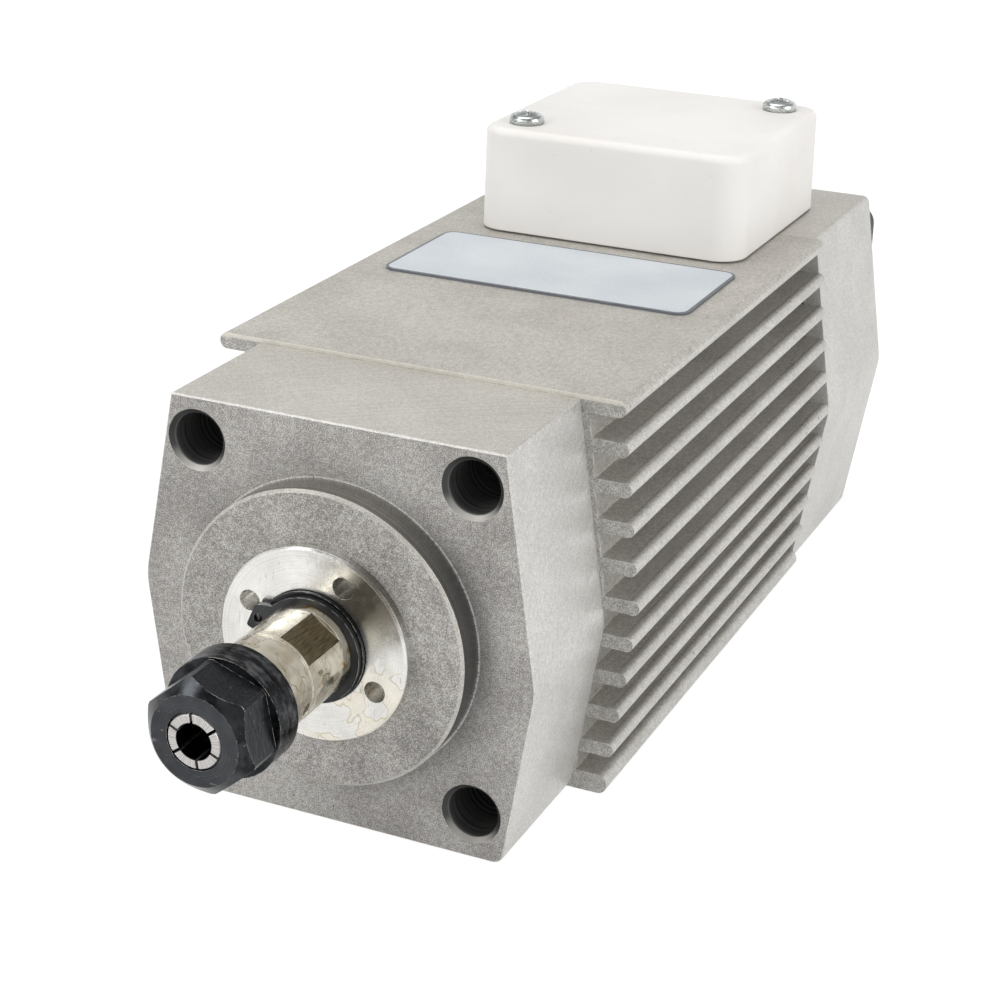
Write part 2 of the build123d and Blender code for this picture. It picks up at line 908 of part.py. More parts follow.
def collet():
    """Spring collet with slits from both ends."""
    groove_end = collet_head_length + collet_groove_width
    y = collet_face_y
    body = turned(
        (collet_bore_radius, y),
        (collet_face_radius, y),
        (collet_body_radius, y + collet_nose_length),
        (collet_body_radius, y + collet_head_length),
        (collet_groove_radius, y + collet_head_length),
        (collet_groove_radius, y + groove_end),
        (collet_radius(groove_end), y + groove_end),
        (collet_radius(collet_length), y + collet_length),
        (collet_bore_radius, y + collet_length),
    )
    front = collet_slit(y - overcut, y + collet_front_slit_end)
    rear = collet_slit(y + collet_rear_slit_start, y + collet_length + overcut)
    body -= around(front, collet_slits, collet_slit_angle)
    body -= around(rear, collet_slits, collet_slit_angle + 180.0 / collet_slits)
    return body


def collet_nut():
    """Hexagonal nut with turned corners, a round collar, a bore thread and the collet's lip."""
    hexagon = Rot(0, 0, nut_turn_deg) * RegularPolygon(nut_across_flats / 2, 6, major_radius=False)
    hexagonal = prism(hexagon, nut_face_y, nut_collar_front_y + overcut)
    envelope = turned(
        (0, nut_face_y),
        (nut_chamfer_radius, nut_face_y),
        (nut_corner_radius, nut_face_y + nut_corner_radius - nut_chamfer_radius),
        (nut_corner_radius, nut_collar_front_y + overcut),
        (0, nut_collar_front_y + overcut),
    )
    collar = turned(
        (0, nut_collar_front_y),
        (nut_collar_radius, nut_collar_front_y),
        (nut_collar_radius, nut_rear_y - nut_collar_chamfer),
        (nut_collar_radius - nut_collar_chamfer, nut_rear_y),
        (0, nut_rear_y),
    )
    lip_y = collet_face_y + collet_head_length + (collet_groove_width - nut_lip_width) / 2
    head_room = collet_body_radius + slip_gap
    thread = nose_thread_radius + running_gap
    relief = thread + nut_thread_relief
    thread_end_y = nut_thread_start_y + nut_thread_length
    cavity = turned(
        (0, nut_face_y - overcut),
        (nut_opening_radius, nut_face_y - overcut),
        (nut_opening_radius, nut_face_y + slip_gap),
        (head_room, collet_face_y + collet_nose_length + slip_gap),
        (head_room, lip_y),
        (nut_lip_radius, lip_y),
        (nut_lip_radius, lip_y + nut_lip_width),
        (relief, lip_y + nut_lip_width),
        (relief, nut_thread_start_y),
        (thread, nut_thread_start_y),
        (thread, thread_end_y),
        (thread + nut_mouth_chamfer, thread_end_y + nut_mouth_chamfer),
        (thread + nut_mouth_chamfer, nut_rear_y + overcut),
        (0, nut_rear_y + overcut),
    )
    return (hexagonal & envelope) + collar - cavity


def labyrinth_ring():
    """Black sleeve with grooves that seals the retaining ring's bore."""
    outer = ring_bore_radius - slip_gap
    ring = tube(outer, nose_radius + seat_gap, labyrinth_front_y, front_bearing_y)
    for i in range(labyrinth_grooves):
        start = register_face_y + i * labyrinth_groove_pitch
        ring -= tube(
            outer + overcut,
            outer - labyrinth_groove_depth,
            start,
            start + labyrinth_groove_width,
        )
    return ring


def circlip_ear(inner, root, tip):
    """Lug at a circlip's end, on the +X side, with the hole for the pliers."""
    reach = tip - inner
    outline = FilletPolyline(
        (inner - overcut, -0.68 * reach),
        (tip, -0.68 * reach),
        (tip, 0.6 * reach),
        (0.92 * root, 0.4 * root),
        (inner - overcut, 0.4 * root),
        radius=0.15 * reach,
        close=True,
    )
    return make_face(outline) - Pos(inner + 0.58 * reach, 0) * Circle(0.24 * reach)


def circlip(inner, height, start, ear_radius=None, opening=0.0):
    """External circlip, thinner towards its gap, with or without lugs."""
    offset = circlip_taper * height
    gap = Pos(inner + height, 0) * Rectangle(2 * (inner + height), 0.55 * inner)
    section = Pos(-offset, 0) * Circle(inner + height) - gap
    if ear_radius:
        ear = circlip_ear(inner, inner + height - offset, ear_radius)
        section += Rot(0, 0, front_clip_ear_angle) * ear
        section += Rot(0, 0, -front_clip_ear_angle) * mirror(ear, about=Plane.XZ)
    section -= Circle(inner)
    ring = prism(section, start, start + circlip_thickness)
    return Rot(0, -opening, 0) * ring


def fan_impeller():
    """Radial fan with straight blades on a plate."""
    bore = tail_radius + seat_gap
    wheel = turned(
        (bore, fan_plate_y),
        (fan_radius, fan_plate_y),
        (fan_radius, fan_plate_y + fan_plate_thickness),
        (fan_hub_radius, fan_plate_y + fan_plate_thickness + fan_plate_dish),
        (fan_hub_radius - fan_hub_taper, fan_hub_end),
        (bore, fan_hub_end),
    )
    root_y = fan_plate_y + fan_plate_thickness / 2
    blade_face = make_face(
        Polyline(
            (fan_hub_radius - overcut, root_y),
            (fan_radius, root_y),
            (fan_radius, fan_blade_end),
            (fan_radius - fan_tip_width, fan_blade_end),
            (fan_hub_radius - overcut, fan_hub_end - fan_blade_step),
            close=True,
        )
    )
    blade = extrude(blade_face, fan_blade_thickness / 2, both=True)
    return wheel + around(blade, fan_blade_count)


def grille_slots():
    """Rings of slots in the fan cover, parted by the spokes."""
    slots = Sketch()
    for i in range(grille_rings):
        inner = grille_inner_radius + i * grille_pitch
        slots += Circle(inner + grille_slot_width) - Circle(inner)
    reach = 2 * (grille_inner_radius + grille_rings * grille_pitch)
    spokes = Rectangle(reach, grille_spoke_width) + Rectangle(grille_spoke_width, reach)
    return Rot(0, 0, 45) * (slots - spokes)


def cover_places():
    """Places of the fan cover's four screws."""
    return [
        (x, z) for x in (-cover_screw_x, cover_screw_x) for z in (-cover_screw_z, cover_screw_z)
    ]


def fan_cover():
    """Moulded cover with a grille and four screw posts."""
    outline = RectangleRounded(cover_width, cover_height, cover_corner_radius)
    outer = prism(outline, body_end, cover_end)
    outer = fillet(outer.faces().sort_by(Axis.Y)[-1].edges(), cover_edge_radius)
    room = RectangleRounded(
        cover_width - 2 * cover_wall,
        cover_height - 2 * cover_wall,
        cover_corner_radius - cover_wall,
    )
    cover = outer - prism(room, body_end - overcut, cover_end - cover_wall)
    post = rod(cover_boss_radius, body_end, cover_end - cover_wall / 2)
    hole = rod(cover_screw_radius + slip_gap, body_end - overcut, cover_end + overcut)
    cover += [Pos(x, 0, z) * post for x, z in cover_places()]
    cover -= [Pos(x, 0, z) * hole for x, z in cover_places()]
    return cover - prism(grille_slots(), cover_end - cover_wall - overcut, cover_end + overcut)


def pan_screw(radius, head_radius, head_height, length):
    """Pan head screw. It stands at the origin, its head above and its shank below."""
    rise = 0.5 * head_height
    dome_radius = (head_radius**2 + rise**2) / (2 * rise)
    head = Cylinder(head_radius, head_height, align=(Align.CENTER, Align.CENTER, Align.MIN))
    head &= Pos(0, 0, head_height - dome_radius) * Sphere(dome_radius)
    shank = Cylinder(radius, length, align=(Align.CENTER, Align.CENTER, Align.MAX))
    return head + shank


def fan_cover_screws():
    """Four screws of the fan cover, driven from behind."""
    length = cover_depth + cover_screw_grip
    screw = Rot(-90, 0, 0) * pan_screw(
        cover_screw_radius, cover_head_radius, cover_head_height, length
    )
    return [Pos(x, cover_end, z) * screw for x, z in cover_places()]


def box_section(inset):
    """Outline of the terminal box, drawn about the middle of its base."""
    return RectangleRounded(
        box_width - 2 * inset, box_length - 2 * inset, box_corner_radius - inset
    )


def terminal_box_cover():
    """Drafted moulding with a soft top edge, two screw posts and the cable hole."""
    place = Pos(box_middle_x, box_middle_y, box_foot_z)
    outer = place * extrude(box_section(0), box_height, taper=box_draft_deg)
    outer = fillet(outer.faces().sort_by(Axis.Z)[-1].edges(), box_edge_radius)
    room = place * extrude(box_section(box_wall), box_height - box_wall, taper=box_draft_deg)
    cover = outer - room
    for x, y in box_screw_places():
        post = Cylinder(
            box_boss_radius,
            box_height - box_wall / 2,
            align=(Align.CENTER, Align.CENTER, Align.MIN),
        )
        hole = Cylinder(box_screw_radius + slip_gap, 3 * box_height)
        cover += Pos(x, y, box_foot_z) * post
        cover -= Pos(x, y, box_foot_z) * hole
    cable_hole = rod(
        grommet_neck_radius + seat_gap,
        box_end_y - 2 * box_wall,
        box_end_y + overcut,
        x=box_middle_x,
        z=grommet_z,
    )
    return cover - cable_hole


def box_gasket():
    """Flat gasket under the terminal box."""
    ring = box_section(gasket_inset) - box_section(gasket_inset + gasket_width)
    outline = Pos(box_middle_x, box_middle_y) * ring
    for x, y in box_screw_places():
        outline += Pos(x, y) * Circle(box_boss_radius)
        outline -= Pos(x, y) * Circle(box_screw_radius + slip_gap)
    return upright(outline, plate_top_z, box_foot_z)


def box_screws():
    """The two screws of the terminal box."""
    length = box_height + gasket_thickness + box_screw_grip
    screw = pan_screw(box_screw_radius, box_head_radius, box_head_height, length)
    return [Pos(x, y, box_top_z) * screw for x, y in box_screw_places()]


def block_places():
    """X places of the terminals."""
    return [(i - (lead_count - 1) / 2) * block_pitch for i in range(lead_count)]


def terminal_block():
    """Moulded block with a screw well over each terminal."""
    middle_y = block_start_y + block_depth / 2
    block = on_plate(0, middle_y) * Box(
        block_width, block_depth, block_height, align=(Align.CENTER, Align.CENTER, Align.MIN)
    )
    step = Box(
        block_width + overcut,
        block_depth / 2,
        block_height / 2,
        align=(Align.CENTER, Align.CENTER, Align.MIN),
    )
    block -= on_plate(0, block_start_y + block_depth) * Pos(0, 0, block_height / 2) * step
    for x in block_places():
        block -= Pos(x, middle_y - block_screw_offset, plate_top_z + block_height) * Cylinder(
            block_screw_radius + slip_gap,
            block_screw_length + block_screw_depth,
            align=(Align.CENTER, Align.CENTER, Align.MAX),
        )
    return block


def block_screws():
    """Cheese head screws in the terminal block's wells."""
    top = plate_top_z + block_height - block_screw_depth
    middle_y = block_start_y + block_depth / 2 - block_screw_offset
    screw = Cylinder(
        block_screw_radius, block_screw_length, align=(Align.CENTER, Align.CENTER, Align.MAX)
    )
    return [Pos(x, middle_y, top) * screw for x in block_places()]


def cable_grommet():
    """Rubber grommet: a flange on each side of the wall and a tapered sleeve outside."""
    wall = box_wall + box_height * math.tan(math.radians(box_draft_deg))
    inner_face = box_end_y - wall
    outer_face = box_end_y
    end = outer_face + grommet_flange + grommet_sleeve_length
    body = turned(
        (grommet_bore_radius, inner_face - grommet_flange),
        (grommet_flange_radius, inner_face - grommet_flange),
        (grommet_flange_radius, inner_face),
        (grommet_neck_radius, inner_face),
        (grommet_neck_radius, outer_face),
        (grommet_flange_radius, outer_face),
        (grommet_flange_radius, outer_face + grommet_flange),
        (grommet_sleeve_radius + grommet_taper, outer_face + grommet_flange),
        (grommet_sleeve_radius, end),
        (grommet_bore_radius, end),
    )
    return Pos(box_middle_x, 0, grommet_z) * body


def name_plate():
    """Thin plate with round corners, without any marking."""
    middle_y = box_start_y - name_plate_gap - name_plate_length / 2
    plate = RectangleRounded(name_plate_width, name_plate_length, name_plate_corner)
    return upright(Pos(0, middle_y) * plate, plate_top_z, plate_top_z + name_plate_thickness)


save("front_bracket", front_bracket())
save("finned_housing", finned_housing())
save("rear_bracket", rear_bracket())

front_tip_y = housing_start + tie_thread_length
rear_seat_y = body_end - rear_sink_depth
save("front_tie_screws", *at_corners(tie_screw(front_sink_depth, front_tip_y)))
save("rear_tie_screws", *at_corners(tie_screw(rear_seat_y, housing_end - tie_thread_length)))

save("bearing_retaining_ring", retaining_ring())

pair = [
    bearing(
        front_bearing_bore,
        front_bearing_outer,
        front_bearing_width,
        front_ball_radius,
        front_ball_count,
        start,
    )
    for start in (front_bearing_y, second_bearing_y)
]
save("front_bearing_outer_rings", *[one[0] for one in pair])
save("front_bearing_inner_rings", *[one[1] for one in pair])
save("front_bearing_cages", *[one[2] for one in pair])
save("front_bearing_balls", *[ball for one in pair for ball in one[3]])
spacer_start = front_bearing_y + front_bearing_width
seat_radius = front_bearing_outer / 2
bore_radius = front_bearing_bore / 2
save(
    "outer_bearing_spacer",
    tube(seat_radius, seat_radius - bearing_spacer_wall, spacer_start, second_bearing_y),
)
save(
    "inner_bearing_spacer",
    tube(bore_radius + bearing_spacer_wall, bore_radius, spacer_start, second_bearing_y),
)

rear_outer, rear_inner, rear_cage, rear_balls = bearing(
    rear_bearing_bore,
    rear_bearing_outer,
    rear_bearing_width,
    rear_ball_radius,
    rear_ball_count,
    rear_bearing_y,
)
save("rear_bearing_outer_ring", rear_outer)
save("rear_bearing_inner_ring", rear_inner)
save("rear_bearing_cage", rear_cage)
save("rear_bearing_balls", *rear_balls)
save("wave_spring", wave_spring())

save("stator_core", stator_core())
save("stator_winding", stator_winding())
save("winding_leads", *winding_leads())
save("rotor_core", rotor_core())
save("rotor_cage", rotor_cage())

save("shaft", shaft())
save("labyrinth_ring", labyrinth_ring())
front_clip_bore = nose_radius - circlip_groove_depth + seat_gap
save(
    "front_circlip",
    circlip(
        front_clip_bore,
        front_clip_radius - front_clip_bore,
        front_clip_y,
        front_clip_ear_radius,
        front_clip_opening,
    ),
)
bearing_clip = circlip(
    rear_seat_radius - circlip_groove_depth + seat_gap, rear_clip_height, rear_seat_end + 2 * seat_gap
)
fan_clip = circlip(
    tail_radius - circlip_groove_depth + seat_gap,
    rear_clip_height,
    fan_hub_end + 2 * seat_gap,
)
save("rear_circlips", bearing_clip, fan_clip)
save("collet", collet())
save("collet_nut", collet_nut())

save("fan_impeller", fan_impeller())
save("fan_cover", fan_cover())
save("fan_cover_screws", *fan_cover_screws())

save("terminal_box_cover", terminal_box_cover())
save("terminal_box_gasket", box_gasket())
save("terminal_box_screws", *box_screws())
save("terminal_block", terminal_block())
save("terminal_block_screws", *block_screws())
earth = pan_screw(earth_screw_radius, earth_head_radius, earth_head_height, earth_grip)
save("earth_screw", on_plate(earth_x, earth_y) * earth)
save("cable_grommet", cable_grommet())
save("name_plate", name_plate())
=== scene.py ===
import math

import bmesh
import bpy
from mathutils import Matrix, Quaternion, Vector


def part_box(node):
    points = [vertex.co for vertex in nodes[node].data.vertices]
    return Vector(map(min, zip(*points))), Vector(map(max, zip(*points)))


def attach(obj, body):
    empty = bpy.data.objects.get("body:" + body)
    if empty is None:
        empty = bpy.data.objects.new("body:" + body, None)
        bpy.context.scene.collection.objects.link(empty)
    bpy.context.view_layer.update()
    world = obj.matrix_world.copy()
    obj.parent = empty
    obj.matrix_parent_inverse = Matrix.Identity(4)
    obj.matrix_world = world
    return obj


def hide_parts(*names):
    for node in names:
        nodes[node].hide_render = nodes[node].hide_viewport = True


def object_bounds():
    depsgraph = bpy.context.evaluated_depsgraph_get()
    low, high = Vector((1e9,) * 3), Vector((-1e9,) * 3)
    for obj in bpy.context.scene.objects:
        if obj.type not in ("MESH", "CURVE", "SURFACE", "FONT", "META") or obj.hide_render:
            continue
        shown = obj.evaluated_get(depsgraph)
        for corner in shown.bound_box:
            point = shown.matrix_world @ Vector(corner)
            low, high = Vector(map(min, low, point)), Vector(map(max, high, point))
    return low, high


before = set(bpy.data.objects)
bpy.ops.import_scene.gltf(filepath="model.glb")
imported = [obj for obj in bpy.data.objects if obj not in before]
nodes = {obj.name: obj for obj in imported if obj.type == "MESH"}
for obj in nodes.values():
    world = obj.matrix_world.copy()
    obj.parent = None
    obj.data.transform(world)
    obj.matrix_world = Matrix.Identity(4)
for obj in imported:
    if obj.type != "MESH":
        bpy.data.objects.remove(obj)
cad_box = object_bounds()
mm = 0.001


# Camera
# It stands in front of the nose, above it and to its right, as a product photographer's would.
# Position, direction and lens were worked out from the edges and circles of the real object.
camera_place = Vector((157.3, -289.7, 159.4)) * mm
camera_azimuth = math.radians(23.89)
camera_elevation = math.radians(22.49)
camera_roll = math.radians(1.53)
camera_lens = 80.3

away = Vector((
    math.sin(camera_azimuth) * math.cos(camera_elevation),
    -math.cos(camera_azimuth) * math.cos(camera_elevation),
    math.sin(camera_elevation),
))
camera_data = bpy.data.cameras.new("camera")
camera_data.lens = camera_lens
camera_data.sensor_width = 36.0
camera_data.clip_start = 0.01
camera = bpy.data.objects.new("camera", camera_data)
camera.rotation_mode = "QUATERNION"
camera.location = camera_place
camera.rotation_quaternion = (-away).to_track_quat("-Z", "Y") @ Quaternion((0, 0, 1), camera_roll)
bpy.context.scene.collection.objects.link(camera)
bpy.context.scene.camera = camera
bpy.context.scene.view_settings.view_transform = "Standard"


# Studio
# A white sweep under and behind the object, a soft lamp above, one at each side and one in front.
# The sweep looks white to the camera and in reflections, and it keeps the object's soft shadow.
def wire(node, inputs):
    """Sets a node's inputs. Each is a value, or the output socket that feeds it."""
    for key, value in inputs.items():
        if isinstance(value, bpy.types.NodeSocket):
            node.id_data.links.new(value, node.inputs[key])
        else:
            node.inputs[key].default_value = value


def put(tree, kind, inputs=None, **settings):
    """Adds a shader node with its settings and inputs."""
    node = tree.nodes.new("ShaderNode" + kind)
    for key, value in settings.items():
        setattr(node, key, value)
    wire(node, inputs or {})
    return node


def calc(tree, operation, first, second=0.0):
    """Sum, product or other arithmetic on two values."""
    return put(tree, "Math", {0: first, 1: second}, operation=operation).outputs[0]


def span(tree, value, low, high, to_low=0.0, to_high=1.0):
    """Value mapped smoothly from one range to another, and kept within it."""
    inputs = {"Value": value, "From Min": low, "From Max": high, "To Min": to_low, "To Max": to_high}
    return put(tree, "MapRange", inputs, interpolation_type="SMOOTHSTEP").outputs[0]


def camera_and_mirror(tree):
    """Masks of the rays that the camera sends, and of those that mirrors and glass send on."""
    path = put(tree, "LightPath").outputs
    mirror = calc(tree, "MAXIMUM", path["Is Glossy Ray"], path["Is Transmission Ray"])
    return path["Is Camera Ray"], mirror


floor_reach = 3.0
floor_white = (0.86, 0.86, 0.86, 1.0)
floor_glow = 1.17
glow_to_camera = 0.74
glow_to_mirror = 0.5
world_white = (1.0, 1.0, 1.0, 1.0)
world_strength = 0.46
ceiling_strength = 0.4
dark_side = (0.7, -0.7, 0.1)
dark_side_strength = 0.5

floor_mesh = bpy.data.meshes.new("floor")
floor_corners = [(-floor_reach, -floor_reach), (floor_reach, -floor_reach),
                 (floor_reach, floor_reach), (-floor_reach, floor_reach)]
floor_mesh.from_pydata([(x, y, cad_box[0].z) for x, y in floor_corners], [], [(0, 1, 2, 3)])
floor = bpy.data.objects.new("floor", floor_mesh)
bpy.context.scene.collection.objects.link(floor)

floor_material = bpy.data.materials.new("studio_floor")
floor_material.use_nodes = True
tree = floor_material.node_tree
tree.nodes.clear()
paper = put(tree, "BsdfDiffuse", {"Color": floor_white})
glow = put(tree, "Emission", {"Color": world_white, "Strength": floor_glow})
by_camera, by_mirror = camera_and_mirror(tree)
share = calc(tree, "MAXIMUM", calc(tree, "MULTIPLY", by_camera, glow_to_camera),
             calc(tree, "MULTIPLY", by_mirror, glow_to_mirror))
mixed = put(tree, "MixShader", {0: share, 1: paper.outputs[0], 2: glow.outputs[0]})
put(tree, "OutputMaterial", {"Surface": mixed.outputs[0]})
floor_mesh.materials.append(floor_material)

# The sweep is white up to about thirty degrees. Above it a mirror sees the dimmer ceiling,
# and in front to the right it sees the open, darker side of the room.
world = bpy.data.worlds.new("studio_world")
world.use_nodes = True
tree = world.node_tree
tree.nodes.clear()
by_camera, by_mirror = camera_and_mirror(tree)
direction = put(tree, "TexCoord").outputs["Generated"]
rise = put(tree, "SeparateXYZ", {0: direction}).outputs["Z"]
mirrored = span(tree, rise, 0.3, 0.62, 1.0, ceiling_strength)
toward = put(tree, "VectorMath", {0: direction, 1: dark_side}, operation="DOT_PRODUCT")
opening = span(tree, toward.outputs["Value"], 0.7, 0.96, 1.0, dark_side_strength)
mirrored = calc(tree, "MAXIMUM", calc(tree, "MULTIPLY", mirrored, opening), by_camera)
direct = calc(tree, "MAXIMUM", by_camera, by_mirror)
level = put(tree, "MapRange", {"Value": direct, "To Min": world_strength, "To Max": mirrored})
sky = put(tree, "Background", {"Color": world_white, "Strength": level.outputs[0]})
put(tree, "OutputWorld", {"Surface": sky.outputs[0]})
bpy.context.scene.world = world


def soft_lamp(name, place, aim, size, power):
    """A square area lamp that shines at a point of the object."""
    data = bpy.data.lights.new(name, "AREA")
    data.shape = "SQUARE"
    data.size = size
    data.energy = power
    lamp = bpy.data.objects.new(name, data)
    lamp.location = place
    lamp.rotation_mode = "QUATERNION"
    lamp.rotation_quaternion = (Vector(aim) - Vector(place)).to_track_quat("-Z", "Y")
    bpy.context.scene.collection.objects.link(lamp)


middle = (cad_box[0] + cad_box[1]) / 2
nose = Vector((0.0, cad_box[0].y, 0.0))
soft_lamp("lamp_top", (-0.2, 0.1, 0.9), middle, 0.8, 4.4)
soft_lamp("lamp_right", (0.9, -0.05, 0.38), middle, 0.7, 5.3)
soft_lamp("lamp_left", (-0.3, -0.33, 0.28), nose, 0.3, 1.15)
soft_lamp("lamp_front", (0.1, -1.1, 0.25), nose, 0.6, 0.9)


# Front bracket
# A sand-cast aluminium block. Its front is left as cast and blasted, its top, base and sides
# are milled, and the register, its foot and four deep counterbores are turned and bored.
def srgb(red, green, blue):
    """Linear colour of a paint swatch given as 0 to 255."""
    swatch = [c / 255.0 for c in (red, green, blue)]
    return (*[c / 12.92 if c < 0.04045 else ((c + 0.055) / 1.055) ** 2.4 for c in swatch], 1.0)


def new_group(name, inputs, outputs):
    """A shader node group with named inputs, each of a value, and outputs, each of a kind."""
    tree = bpy.data.node_groups.new(name, "ShaderNodeTree")
    for socket, value in inputs.items():
        made = tree.interface.new_socket(socket, in_out="INPUT", socket_type="NodeSocketFloat")
        made.default_value = value
    for socket, kind in outputs.items():
        tree.interface.new_socket(socket, in_out="OUTPUT", socket_type="NodeSocket" + kind)
    start = tree.nodes.new("NodeGroupInput")
    end = tree.nodes.new("NodeGroupOutput")
    return tree, start.outputs, end


def use(tree, group, **inputs):
    """Puts a node group into a material with its own values, and returns its outputs."""
    node = put(tree, "Group", node_tree=group)
    wire(node, inputs)
    return node.outputs


def noise(tree, spot, scale, detail=2.0, roughness=0.5):
    """Noise over the surface, from about 0.3 to 0.7."""
    inputs = {"Vector": spot, "Scale": scale, "Detail": detail, "Roughness": roughness}
    return put(tree, "TexNoise", inputs).outputs[0]


def lines(tree, path, scale, detail=3.0):
    """Noise along one measure only, such as a radius, which draws lines across it."""
    inputs = {"W": path, "Scale": scale, "Detail": detail}
    return put(tree, "TexNoise", inputs, noise_dimensions="1D").outputs[0]


def stretched(tree, where, across, along, up):
    """Place with its three measures scaled, so that noise on it becomes streaks."""
    return put(tree, "VectorMath", {0: where, 1: (across, along, up)}, operation="MULTIPLY").outputs[0]


def ramp(tree, factor, *stops):
    """Colour ramp from (place, colour) stops."""
    node = put(tree, "ValToRGB", {0: factor})
    elements = node.color_ramp.elements
    while len(elements) < len(stops):
        elements.new(0.5)
    for element, (position, colour) in zip(elements, stops):
        element.position = position
        element.color = colour
    return node.outputs[0]


def mix(tree, factor, first, second):
    """Mix of two colours."""
    node = put(tree, "Mix", data_type="RGBA")
    wire(node, {0: factor, 6: first, 7: second})
    return node.outputs[2]


def blend(tree, factor, first, second):
    """Mix of two values."""
    return put(tree, "Mix", {0: factor, 2: first, 3: second}, data_type="FLOAT").outputs[0]


def times(tree, *masks):
    """Product of masks, one only where all of them are."""
    product = masks[0]
    for mask in masks[1:]:
        product = calc(tree, "MULTIPLY", product, mask)
    return product


def apart(tree, value, middle):
    """How far a value lies from a middle one."""
    return calc(tree, "ABSOLUTE", calc(tree, "SUBTRACT", value, middle))


def tint(tree, mask, share, colour, paint):
    """A colour with a share of paint over it where the mask is."""
    return mix(tree, calc(tree, "MULTIPLY", mask, share), colour, paint)


def new_material(name):
    """A material with its shader, ready for more nodes."""
    material = bpy.data.materials.new(name)
    material.use_nodes = True
    tree = material.node_tree
    return material, tree, tree.nodes["Principled BSDF"]


def surface_spot(tree):
    """Where a point lies on the object, whole and by X, Y and Z, and which way it faces."""
    coordinates = put(tree, "TexCoord").outputs
    spot = put(tree, "SeparateXYZ", {0: coordinates["Object"]}).outputs
    facing = put(tree, "SeparateXYZ", {0: coordinates["Normal"]}).outputs
    return coordinates["Object"], spot, facing


def distance_from(tree, first, second, first_middle=0.0, second_middle=0.0):
    """Distance from a point in the plane of two coordinates."""
    across = calc(tree, "SUBTRACT", first, first_middle)
    along = calc(tree, "SUBTRACT", second, second_middle)
    flat = put(tree, "CombineXYZ", {"X": across, "Y": along}).outputs[0]
    return put(tree, "VectorMath", {0: flat}, operation="LENGTH").outputs["Value"]


def finish_with(shader, height, normal, depth, **inputs):
    """Feeds a shader its bump, and its colour and other inputs, by their names."""
    bump = put(shader.id_data, "Bump", {"Height": height, "Normal": normal, "Distance": depth})
    wire(shader, {key.replace("_", " "): value for key, value in inputs.items()})
    wire(shader, {"Normal": bump.outputs[0]})


def dress(node_name, material):
    """Gives a CAD node its finish."""
    mesh = nodes[node_name].data
    mesh.materials.clear()
    mesh.materials.append(material)


# Worn edge: where the rounded normal leaves the face's own normal, the corner is rubbed bright.
edge_wear, given, result = new_group(
    "edge_wear", {"Width": 0.3 * mm, "Breakup": 900.0, "Amount": 1.0},
    {"Mask": "Float", "Normal": "Vector"})
rounded = put(edge_wear, "Bevel", {"Radius": given["Width"]}, samples=4).outputs[0]
flat = put(edge_wear, "NewGeometry").outputs["Normal"]
agree = put(edge_wear, "VectorMath", {0: rounded, 1: flat}, operation="DOT_PRODUCT")
lost = span(edge_wear, agree.outputs["Value"], 0.998, 0.9)
place = put(edge_wear, "TexCoord").outputs["Object"]
rubbed = span(edge_wear, noise(edge_wear, place, given["Breakup"]), 0.38, 0.6)
wire(result, {"Mask": times(edge_wear, lost, rubbed, given["Amount"]), "Normal": rounded})

# Grit: fine light and dark grains, broad faint clouds and a few dark nicks.
grit, given, result = new_group(
    "grit", {"Grain": 3200.0, "Clouds": 0.15, "Nicks": 0.5},
    {"Tone": "Float", "Height": "Float", "Nick": "Float"})
place = put(grit, "TexCoord").outputs["Object"]
grain = span(grit, noise(grit, place, given["Grain"], 2.0, 0.6), 0.3, 0.7, -0.38, 0.38)
clump = noise(grit, place, calc(grit, "MULTIPLY", given["Grain"], 0.25), 2.0)
grain = calc(grit, "ADD", grain, span(grit, clump, 0.3, 0.7, -0.13, 0.13))
cloud = calc(grit, "ADD", noise(grit, place, 30.0, 2.0), noise(grit, place, 95.0, 2.0))
drift = calc(grit, "MULTIPLY", span(grit, cloud, 0.75, 1.25, -1.0, 1.0), given["Clouds"])
cells = put(grit, "TexVoronoi", {"Vector": place, "Scale": 260.0}).outputs
chance = put(grit, "SeparateColor", {0: cells["Color"]}).outputs[0]
reach = span(grit, chance, 0.82, 1.0, 0.0, 0.14)
nick = span(grit, calc(grit, "SUBTRACT", cells["Distance"], reach), 0.02, -0.05)
nick = calc(grit, "MULTIPLY", nick, given["Nicks"])
tone = calc(grit, "ADD", calc(grit, "ADD", grain, drift), 0.5)
wire(result, {"Tone": tone, "Height": calc(grit, "SUBTRACT", grain, nick), "Nick": nick})


def screw_boxes(node_name, first, second):
    """Lowest and highest corner of each screw of a node, told apart by the side it lies on."""
    low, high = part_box(node_name)
    centre = (low + high) / 2
    groups = {}
    for vertex in nodes[node_name].data.vertices:
        side = (vertex.co[first] > centre[first], vertex.co[second] > centre[second])
        groups.setdefault(side, []).append(vertex.co)
    return [(Vector([min(axis) for axis in zip(*group)]), Vector([max(axis) for axis in zip(*group)]))
            for side, group in sorted(groups.items())]


sink_radius = 4.56 * mm
sink_mouth = 5.4 * mm
register_radius = 26.0 * mm
side_cutter = (0.075, -0.06)
top_cutter = (0.2, -0.25)
milled_metallic = 0.45
milled_roughness = 0.4


